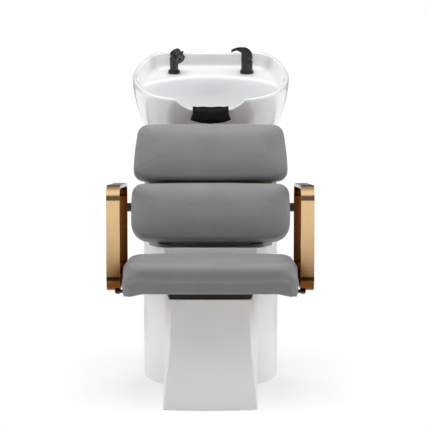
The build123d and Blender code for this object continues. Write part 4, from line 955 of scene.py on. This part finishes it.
for part, new_name, voxel, rounds in (("mixer_body", "mixer_barrel", 0.0010, 3),
                                      ("mixer_lever", "mixer_handle", 0.0008, 4)):
    settle(cast(part, new_name, voxel, rounds), part)
bevelled("sprayer_body", "sprayer_shell", SHELL_BEVEL)
for part, new_name in (("mixer_ring", "mixer_collar"), ("sprayer_ring", "sprayer_collar"),
                       ("sprayer_face", "sprayer_rose"), ("sprayer_button", "sprayer_trigger"),
                       ("lock_lever", "lock_handle"), ("drain_flange", "drain_ring"),
                       ("strainer", "hair_strainer")):
    bevelled(part, new_name, COLLAR_BEVEL, segments=2)

# %% [markdown]
# The floor is a wide white sheet. The camera sees it lit near the object, with its shadow, and pure
# white further away, like the background. Shiny surfaces see a dark stretch of floor in front, which
# gives the lower bends of the arm loops their dark band too.

# %% Floor sheet
floor_shape = bmesh.new()
bmesh.ops.create_grid(floor_shape, x_segments=1, y_segments=1, size=12)
floor_mesh = bpy.data.meshes.new("studio_floor")
floor_shape.to_mesh(floor_mesh)
floor_shape.free()
floor = bpy.data.objects.new("studio_floor", floor_mesh)
bpy.context.scene.collection.objects.link(floor)
floor_finish = finish("studio_floor", (0.86, 0.86, 0.86), 0.9)
floor_mesh.materials.append(floor_finish)
print("floor:", floor.name)

# %% [markdown]
# Both greys depend on how far a point of the floor is from the object. The places of their stops are
# shares of five metres.

# %% What the camera and the reflections see of the floor
FLOOR_REACH = 5
WHITE_STOPS = ((0.0, 0.5), (0.06, 0.55), (0.16, 1.0), (1.0, 1.0))
GLOSS_STOPS = ((0.0, 0.8), (0.2, 0.8), (0.24, 0.08), (0.79, 0.08), (0.84, 0.95), (1.0, 0.95))

floor_tree = floor_finish.node_tree
floor_place = floor_tree.nodes.new("ShaderNodeTexCoord")
distance = floor_tree.nodes.new("ShaderNodeVectorMath")
distance.operation = "LENGTH"
floor_tree.links.new(floor_place.outputs["Object"], distance.inputs[0])
far_share = floor_tree.nodes.new("ShaderNodeMapRange")
far_share.inputs["From Max"].default_value = FLOOR_REACH
floor_tree.links.new(distance.outputs["Value"], far_share.inputs["Value"])

floor_ray = floor_tree.nodes.new("ShaderNodeLightPath")
glow = floor_tree.nodes.new("ShaderNodeEmission")
reflected = floor_tree.nodes.new("ShaderNodeEmission")
floor_tree.links.new(grey_ramp(floor_tree, far_share.outputs["Result"], GLOSS_STOPS),
                     reflected.inputs["Color"])
far_white = floor_tree.nodes.new("ShaderNodeMath")
far_white.operation = "MULTIPLY"
floor_tree.links.new(floor_ray.outputs["Is Camera Ray"], far_white.inputs[0])
floor_tree.links.new(grey_ramp(floor_tree, far_share.outputs["Result"], WHITE_STOPS),
                     far_white.inputs[1])

floor_camera = floor_tree.nodes.new("ShaderNodeMixShader")
floor_tree.links.new(far_white.outputs[0], floor_camera.inputs[0])
floor_tree.links.new(floor_tree.nodes["Principled BSDF"].outputs[0], floor_camera.inputs[1])
floor_tree.links.new(glow.outputs[0], floor_camera.inputs[2])
floor_choice = floor_tree.nodes.new("ShaderNodeMixShader")
floor_tree.links.new(floor_ray.outputs["Is Glossy Ray"], floor_choice.inputs[0])
floor_tree.links.new(floor_camera.outputs[0], floor_choice.inputs[1])
floor_tree.links.new(reflected.outputs[0], floor_choice.inputs[2])
floor_tree.links.new(floor_choice.outputs[0], floor_tree.nodes["Material Output"].inputs["Surface"])
print("floor nodes:", len(floor_tree.nodes))
